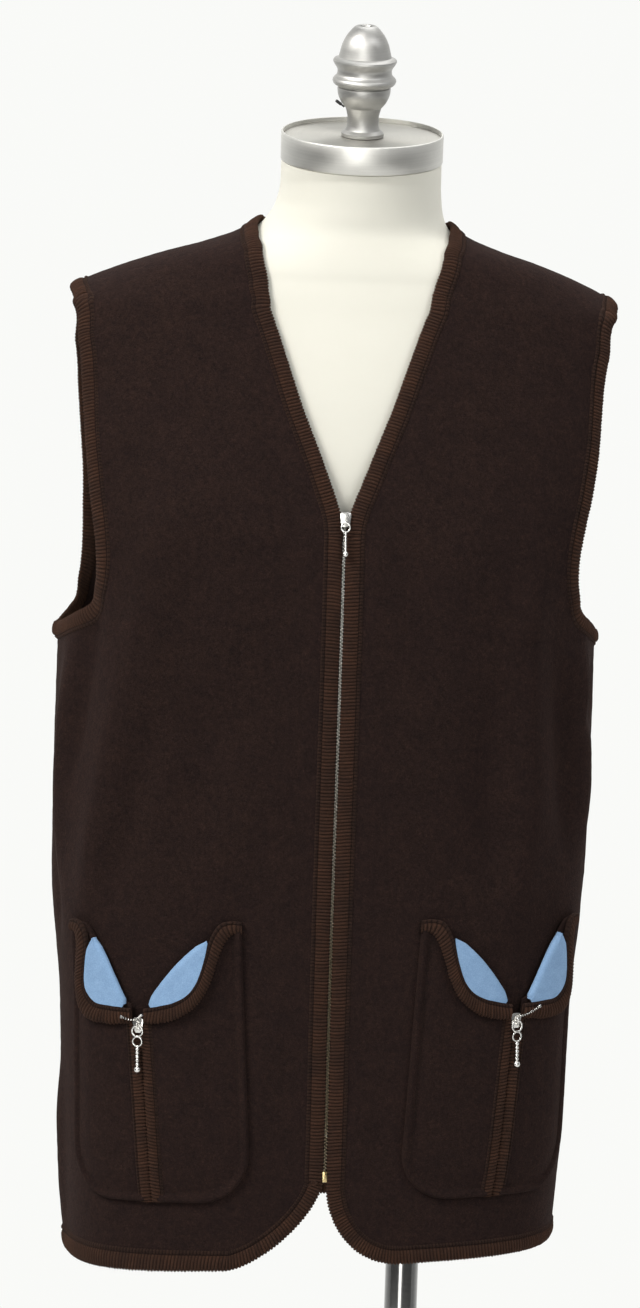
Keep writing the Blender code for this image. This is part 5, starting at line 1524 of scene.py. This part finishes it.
def patch_levels(flat, which):
    """Inner and outer distances of the pocket's patch: laid down and stitched at its side and foot."""
    from_border = to_border(flat, pocket_border(which))
    low = PATCH_SEWN + (POCKET_LIFT - PATCH_SEWN) * eased(from_border, *SEWN_REACH)
    low = low - pocket_lift(flat[..., 0], flat[..., 1]) * (1 - eased(from_border, *LIFT_REACH))
    edge = np.clip(from_border / POCKET_EDGE_ROUND, 0, 1)
    thick = POCKET_EDGE_WALL * np.sqrt(np.clip(1 - (1 - edge) ** 2, 0, 1)) + 0.0002
    thick = thick + (WALL - thick) * eased(from_border, *EDGE_REACH)
    thick = thick - STITCH_SINK * np.exp(-(((from_border - STITCH_INSET) / STITCH_DIP_REACH) ** 2))
    return low, low + thick


def thread_tube(path, radius, sides=6):
    """Points and faces of a short round thread along a path."""
    way = unit(np.gradient(path, axis=0))
    first = unit(np.cross(way, (0.31, 0.17, 0.94)))
    second = np.cross(way, first)
    a = np.linspace(0, 2 * math.pi, sides, endpoint=False)[None, :, None]
    ring = first[:, None] * np.cos(a) + second[:, None] * np.sin(a)
    points = (path[:, None] + ring * radius[:, None, None]).reshape(-1, 3)
    return [tuple(p) for p in points], swept(len(path), sides)


def stitches(which, half, side):
    """Short threads along the stitched line of a pocket half."""
    share, rise, size = np.array(STITCH).T
    border = evened(pocket_border(which), 400)
    way = unit(np.gradient(border, axis=0))
    line = border + np.stack([-way[:, 1], way[:, 0]], 1) * STITCH_INSET
    line = line[(line[:, 0] > SLIT_GAP + BAND_WIDTH) | (line[:, 1] > STITCH_FOOT)]
    run = lengths(line)
    bits = []
    for start in np.arange(0.001, run[-1] - STITCH_PITCH, STITCH_PITCH):
        flat = path_at(line, run, start + share * STITCH_LENGTH)
        level = patch_levels(flat, which)[1] + rise
        bits.append(thread_tube(pocket_laid(flat * (half, 1), level, side), STITCH_RADIUS * size))
    return bits


def table_curves(table):
    """The two curves of a lapel table at even steps of the second one's length, and that length."""
    table = np.asarray(table, float)
    first = spline(table[:, :2], 600)
    second = spline(table[:, 2:], 600)
    run = lengths(second)
    at = np.interp(np.linspace(0, run[-1], rib_count(run[-1])), run, np.arange(600))
    return pick(first, at), pick(second, at), run[-1]


def make_lapel(label, side, which, half):
    """A lapel rolled out of the pocket: the felt facing over the roll, and the wool beneath."""
    curves = np.array(LAPEL[which])
    fold = spline(curves[:, :2], LAPEL_ROWS)
    reach = spline(curves[:, 2:], LAPEL_ROWS) - fold
    way = unit(np.gradient(fold, axis=0))
    outward = np.stack([-way[:, 1], way[:, 0]], 1)
    outward *= np.sign((reach * outward).sum(1))[:, None]
    size = np.clip(np.linalg.norm(reach, axis=1) / FULL_ROLL_WIDTH, SMALLEST_ROLL, 1.0)[:, None]
    spring = LAPEL_SPRING * np.sin(np.linspace(0, math.pi, LAPEL_ROWS))[:, None]
    offset, distance = np.array(ROLL).T
    share = np.linspace(*FACING_SHARES)
    rolled = fold[:, None] + outward[:, None] * (offset[None, :, None] * size[:, :, None])
    spread = fold[:, None] + reach[:, None] * share[None, :, None]
    flat = np.concatenate([rolled, spread], 1) * (half, 1)
    around = ROLL_MIDDLE + (distance[None] - ROLL_MIDDLE) * (0.55 + 0.45 * size)
    over = np.full((LAPEL_ROWS, len(share)), distance[-1])
    spring_share = np.concatenate([np.zeros(6), [0.0, 0.02, 0.06], 0.7 * share])
    outer = pocket_laid(flat, np.concatenate([around, over], 1) + spring * spring_share[None], side)
    # The inner face is moved in by the felt's thickness along the section's own normal.
    normal = unit(np.cross(np.gradient(outer, axis=1), np.gradient(outer, axis=0)))
    last = pocket_places(flat)[:, -1]
    if (normal[:, -1] * CLOTH.normals(side * last[:, 0], last[:, 1])).sum() < 0:
        normal = -normal
    inner = roughened(outer - normal * FACING_WALL, *FELT_ROUGHNESS)
    facing = shell(label + "_facing", "felt", inner, roughened(outer, *FELT_ROUGHNESS), "felt")
    share = np.linspace(*LAPEL_SHARES)
    flat = (fold[:, None] + reach[:, None] * share[None, :, None]) * (half, 1)
    low = LAPEL_LIFT + spring * 0.7 * share[None]
    inner, outer = (pocket_laid(flat, low + wall, side) for wall in (0.0, WALL))
    return facing, shell(label + "_lapel", "cloth", inner, outer, "wool")


def make_pocket_half(label, side, which, half, seed):
    mirror = (half, 1)
    flat = half_pocket_flat(which)
    low, high = patch_levels(flat, which)
    inner = roughened(pocket_laid(flat * mirror, low, side))
    outer = roughened(pocket_laid(flat * mirror, high, side), PATCH_FELTING)
    made = {"patch": shell(label, "cloth", inner, outer, "wool", sharp=60)}
    made["stitches"] = joined(label, "stitches", stitches(which, half, side), "stitching", alone=True)
    up = np.linspace(0, SLIT_TOP, rib_count(SLIT_TOP))
    free = np.stack([np.full(len(up), SLIT_GAP), up], 1)
    border = np.stack([np.full(len(up), SLIT_GAP + BAND_WIDTH), up], 1)
    grid, distance, thread = ribbed(free * mirror, border * mirror, SLIT_TOP, BAND_WIDTH, seed)
    base = POCKET_LIFT - SLIT_FOOT_SINK * (1 - eased(up, 0.0, SLIT_FOOT_REACH))[:, None]
    made["slit"] = ribbed_tube(label + "_slit_trim", pocket_laid(grid, distance + base, side), thread)
    border, free, length = table_curves(LAPEL_EDGE[which])
    rows = len(free)
    free, border = free * mirror, border * mirror
    grid, distance, thread = ribbed(free, border, length, LAPEL_TRIM_WIDTH, seed + 1, LAPEL_TRIM_EXTRA)
    spring = LAPEL_SPRING * np.sin(np.linspace(-0.2, 1, rows).clip(0) * math.pi)[:, None]
    lean = 0.7 + 0.3 * (1 - np.array(SECTION)[None, :, 0])
    sunk = LAPEL_END_SINK * (1 - eased(np.linspace(0, length, rows), 0.0, LAPEL_END_REACH))[:, None]
    distance = distance + LAPEL_LIFT + spring * lean - sunk
    made["edge"] = ribbed_tube(label + "_lapel_trim", pocket_laid(grid, distance, side), thread)
    made["facing"], made["lapel"] = make_lapel(label, side, which, half)
    return made


def make_pockets():
    made = {}
    for name, side in SIDES:
        for which, half in HALVES:
            label = f"pocket_{name}_{which}"
            made[label] = make_pocket_half(label, side, which, half, 100 + 10 * len(made))
    return made


# Form and stand


def cap_place():
    """Where the neck cap sits: on the neck's cut top, which leans forward."""
    centre = float(FORM.ring("centre", np.array(NECK_TOP)))
    return moved(0.0, centre, NECK_TOP) @ Matrix.Rotation(NECK_TILT, 4, "X")


def make_form():
    """The torso and its neck, from the flat underside up to the leaning top of the neck."""
    around = 120
    angle = np.linspace(0, 2 * math.pi, around, endpoint=False)
    rows = [(FORM_FOOT + rise, share) for rise, share in FORM_ROUNDING]
    rows += [(height, 1.0) for levels in (TORSO_LEVELS, NECK_LEVELS) for height in np.linspace(*levels)]
    rings = []
    for height, share in rows:
        place = FORM.points(angle, np.full(around, height))
        middle = place.mean(axis=0)
        rings.append(middle + (place - middle) * (share, share, 1.0))
    seat = cap_place()
    circle = NECK_SEAT_RADIUS * np.stack([np.sin(angle), -np.cos(angle)], 1)
    top = np.array([seat @ Vector((x, y, -TOUCH_GAP)) for x, y in circle])
    last = rings[-1]
    rings += [(1 - t) * last + t * top for t in np.linspace(0, 1, 7)[1:]]
    grid = np.array(rings)
    arc = np.broadcast_to(angle[None] * 0.14, grid.shape[:2])
    thread = np.stack([arc, grid[..., 2], 0 * arc], -1)
    piece("torso_form", "jersey", grid, swept(len(grid), around), "jersey", sharp=60, thread=thread)


def turned(node, word, profile, place, finish, steps=96, sharp=40):
    """A turned piece: a profile of (height, radius) from foot to top about the place's Z."""
    count = len(profile)
    angle = np.linspace(0, 2 * math.pi, steps, endpoint=False)[:, None]
    height, radius = np.array(profile, float).T
    points = np.stack(np.broadcast_arrays(radius * np.sin(angle), -radius * np.cos(angle), height), -1)
    faces = quads(steps, count, wrap_rows=True).tolist()
    faces += [[i * count + k for i in range(steps)] for k in (0, count - 1)]
    thread = np.stack(np.broadcast_arrays(angle * radius.max(), height, radius), -1)
    points = [place @ Vector(p) for p in points.reshape(-1, 3)]
    piece(node, word, points, faces, finish, sharp=sharp, thread=thread)


def make_cap():
    seat = cap_place()
    edge = 0.0008
    inside = CAP_RADIUS - CAP_RIM_WALL
    top = CAP_HEIGHT - CAP_RECESS
    rim = (
        (0.0, CAP_RADIUS - edge), (0.0003, CAP_RADIUS - 0.0003), (edge, CAP_RADIUS),
        (CAP_HEIGHT - edge, CAP_RADIUS), (CAP_HEIGHT - 0.0003, CAP_RADIUS - 0.0003),
        (CAP_HEIGHT, CAP_RADIUS - edge), (CAP_HEIGHT, inside + 0.0002), (CAP_HEIGHT - 0.0002, inside),
        (top - 0.002, inside),
    )
    turned("neck_cap_rim", "metal", rim, seat, "rim", 128)
    disc = (
        (top - 0.0017, inside - TOUCH_GAP), (top - 0.0004, inside - TOUCH_GAP), (top, inside - 0.0007),
        (top, inside * 0.7), (top, inside * 0.35), (top, 0.0165),
    )
    turned("neck_cap_top", "disc", disc, seat, "disc", 128)
    foot = seat @ moved(0, 0, top + TOUCH_GAP)
    turned("finial", "turned", FINIAL, foot, "finial", 96, 30)
    lever = foot @ moved(-SCREW_START - SCREW_OUT, 0, SCREW_HEIGHT + SCREW_UP)
    turned("finial_screw", "lever", SCREW, lever @ Matrix.Rotation(-SCREW_LEAN, 4, "Y"), "black", 24)


def make_stand():
    edge = BASE_HEIGHT - BASE_ROUND
    base = [(0.0, BASE_RADIUS - 0.003), (0.0008, BASE_RADIUS - 0.0009), (0.0030, BASE_RADIUS)]
    base += [(edge + BASE_ROUND * math.sin(a), BASE_RADIUS - BASE_ROUND * (1 - math.cos(a)))
             for a in np.linspace(0, SIDE_ANGLE, 6)]
    base += [(BASE_HEIGHT, BASE_RADIUS * share) for share in (0.9, 0.6, 0.3, 0.05)]
    turned("base", "plate", base, Matrix.Identity(4), "plate", 160)
    place = moved(POLE_ACROSS, 0, 0)
    hub = [(BASE_HEIGHT + rise, HUB_RADIUS + out) for rise, out in HUB_FOOT]
    hub += [(HUB_HEIGHT - 0.0010, HUB_RADIUS - 0.0088), (HUB_HEIGHT, HUB_RADIUS - 0.0098),
            (HUB_HEIGHT, POLE_RADIUS - 0.001)]
    turned("pole_hub", "collar", hub, place, "chrome")
    pole = [(h, POLE_RADIUS) for h in np.linspace(HUB_HEIGHT + TOUCH_GAP, FORM_FOOT - TOUCH_GAP, 12)]
    turned("pole", "tube", pole, place, "chrome", 64)


# Stage


def make_cards():
    """Upright curved cards that shape the metal's reflections and cast no shadow."""
    for index, (first, last, light) in enumerate(CARDS):
        paper = grained_finish(
            f"card_paper_{index}", (0.09, 0.09, 0.09), 0.9, (40.0, 3.0, 0.5),
            ((0.3, (0.08, 0.08, 0.08)), (0.7, (0.11, 0.11, 0.11))),
            Emission_Color=(1.0, 0.99, 0.96, 1.0), Emission_Strength=light)
        angle = np.radians(np.linspace(first, last, 13))[None]
        height = np.array([CARD_FOOT, CARD_TOP])[:, None]
        x, y = CARD_RADIUS * np.sin(angle), -CARD_RADIUS * np.cos(angle)
        points = np.stack(np.broadcast_arrays(x, y, height), -1)
        mesh = bpy.data.meshes.new(f"card_{index}")
        mesh.from_pydata(points.reshape(-1, 3).tolist(), [], quads(2, 13).tolist())
        mesh.materials.append(paper)
        card = linked(f"card_{index}", mesh)
        card.visible_camera = False
        card.visible_diffuse = False
        card.visible_shadow = False


def make_world():
    """A plain room, paler behind the object."""
    world = bpy.data.worlds.new("studio")
    bpy.context.scene.world = world
    world.use_nodes = True
    room = Nodes(world.node_tree)
    place = room.node("ShaderNodeTexCoord").outputs["Generated"]
    depth = room.node("ShaderNodeSeparateXYZ", {"Vector": place}).outputs["Y"]
    share = room.node("ShaderNodeMapRange", {"Value": depth, "From Min": -1.0, "From Max": 1.0})
    tone = room.ramp(share.outputs["Result"], ((0.0, ROOM_GREY), (0.55, ROOM_GREY), (0.93, ROOM_PALE)))
    room.set(room.tree.nodes["Background"], "Color", tone)


def make_stage():
    make_world()
    bm = bmesh.new()
    bmesh.ops.create_circle(bm, cap_ends=True, segments=96, radius=FLOOR_RADIUS)
    mesh = bpy.data.meshes.new("floor")
    bm.to_mesh(mesh)
    bm.free()
    mesh.materials.append(grained_finish("pale_floor", (0.64, 0.64, 0.63), 0.75, (90.0, 4.0, 0.5),
                                         ((0.3, (0.62, 0.62, 0.61)), (0.7, (0.67, 0.67, 0.66)))))
    linked("floor", mesh)
    make_cards()
    for name, place, aim, size, power, colour in LIGHTS:
        data = bpy.data.lights.new(name, "AREA")
        data.size = size
        data.energy = power
        data.color = colour
        light = linked(name, data)
        light.location = place
        light.rotation_euler = (Vector(aim) - Vector(place)).to_track_quat("-Z", "Y").to_euler()
        light.visible_camera = False
        light.visible_glossy = not name.startswith("rim")


def make_camera():
    data = bpy.data.cameras.new("camera")
    data.sensor_fit = "VERTICAL"
    data.sensor_height = 36.0
    data.sensor_width = 36.0
    data.lens = CAMERA_LENS
    data.clip_end = 100.0
    camera = linked("camera", data)
    pitch = Matrix.Rotation(math.radians(90.0 - CAMERA_DOWN), 4, "X")
    camera.matrix_world = moved(*CAMERA_PLACE) @ pitch @ Matrix.Rotation(math.radians(CAMERA_ROLL), 4, "Z")
    bpy.context.scene.camera = camera


def main():
    make_camera()
    make_stage()
    panels = make_panels()
    trims = make_trims()
    zips = make_zip()
    pockets = make_pockets()
    make_fasteners()
    make_form()
    make_cap()
    make_stand()
    bpy.context.scene.view_settings.view_transform = "Standard"


main()
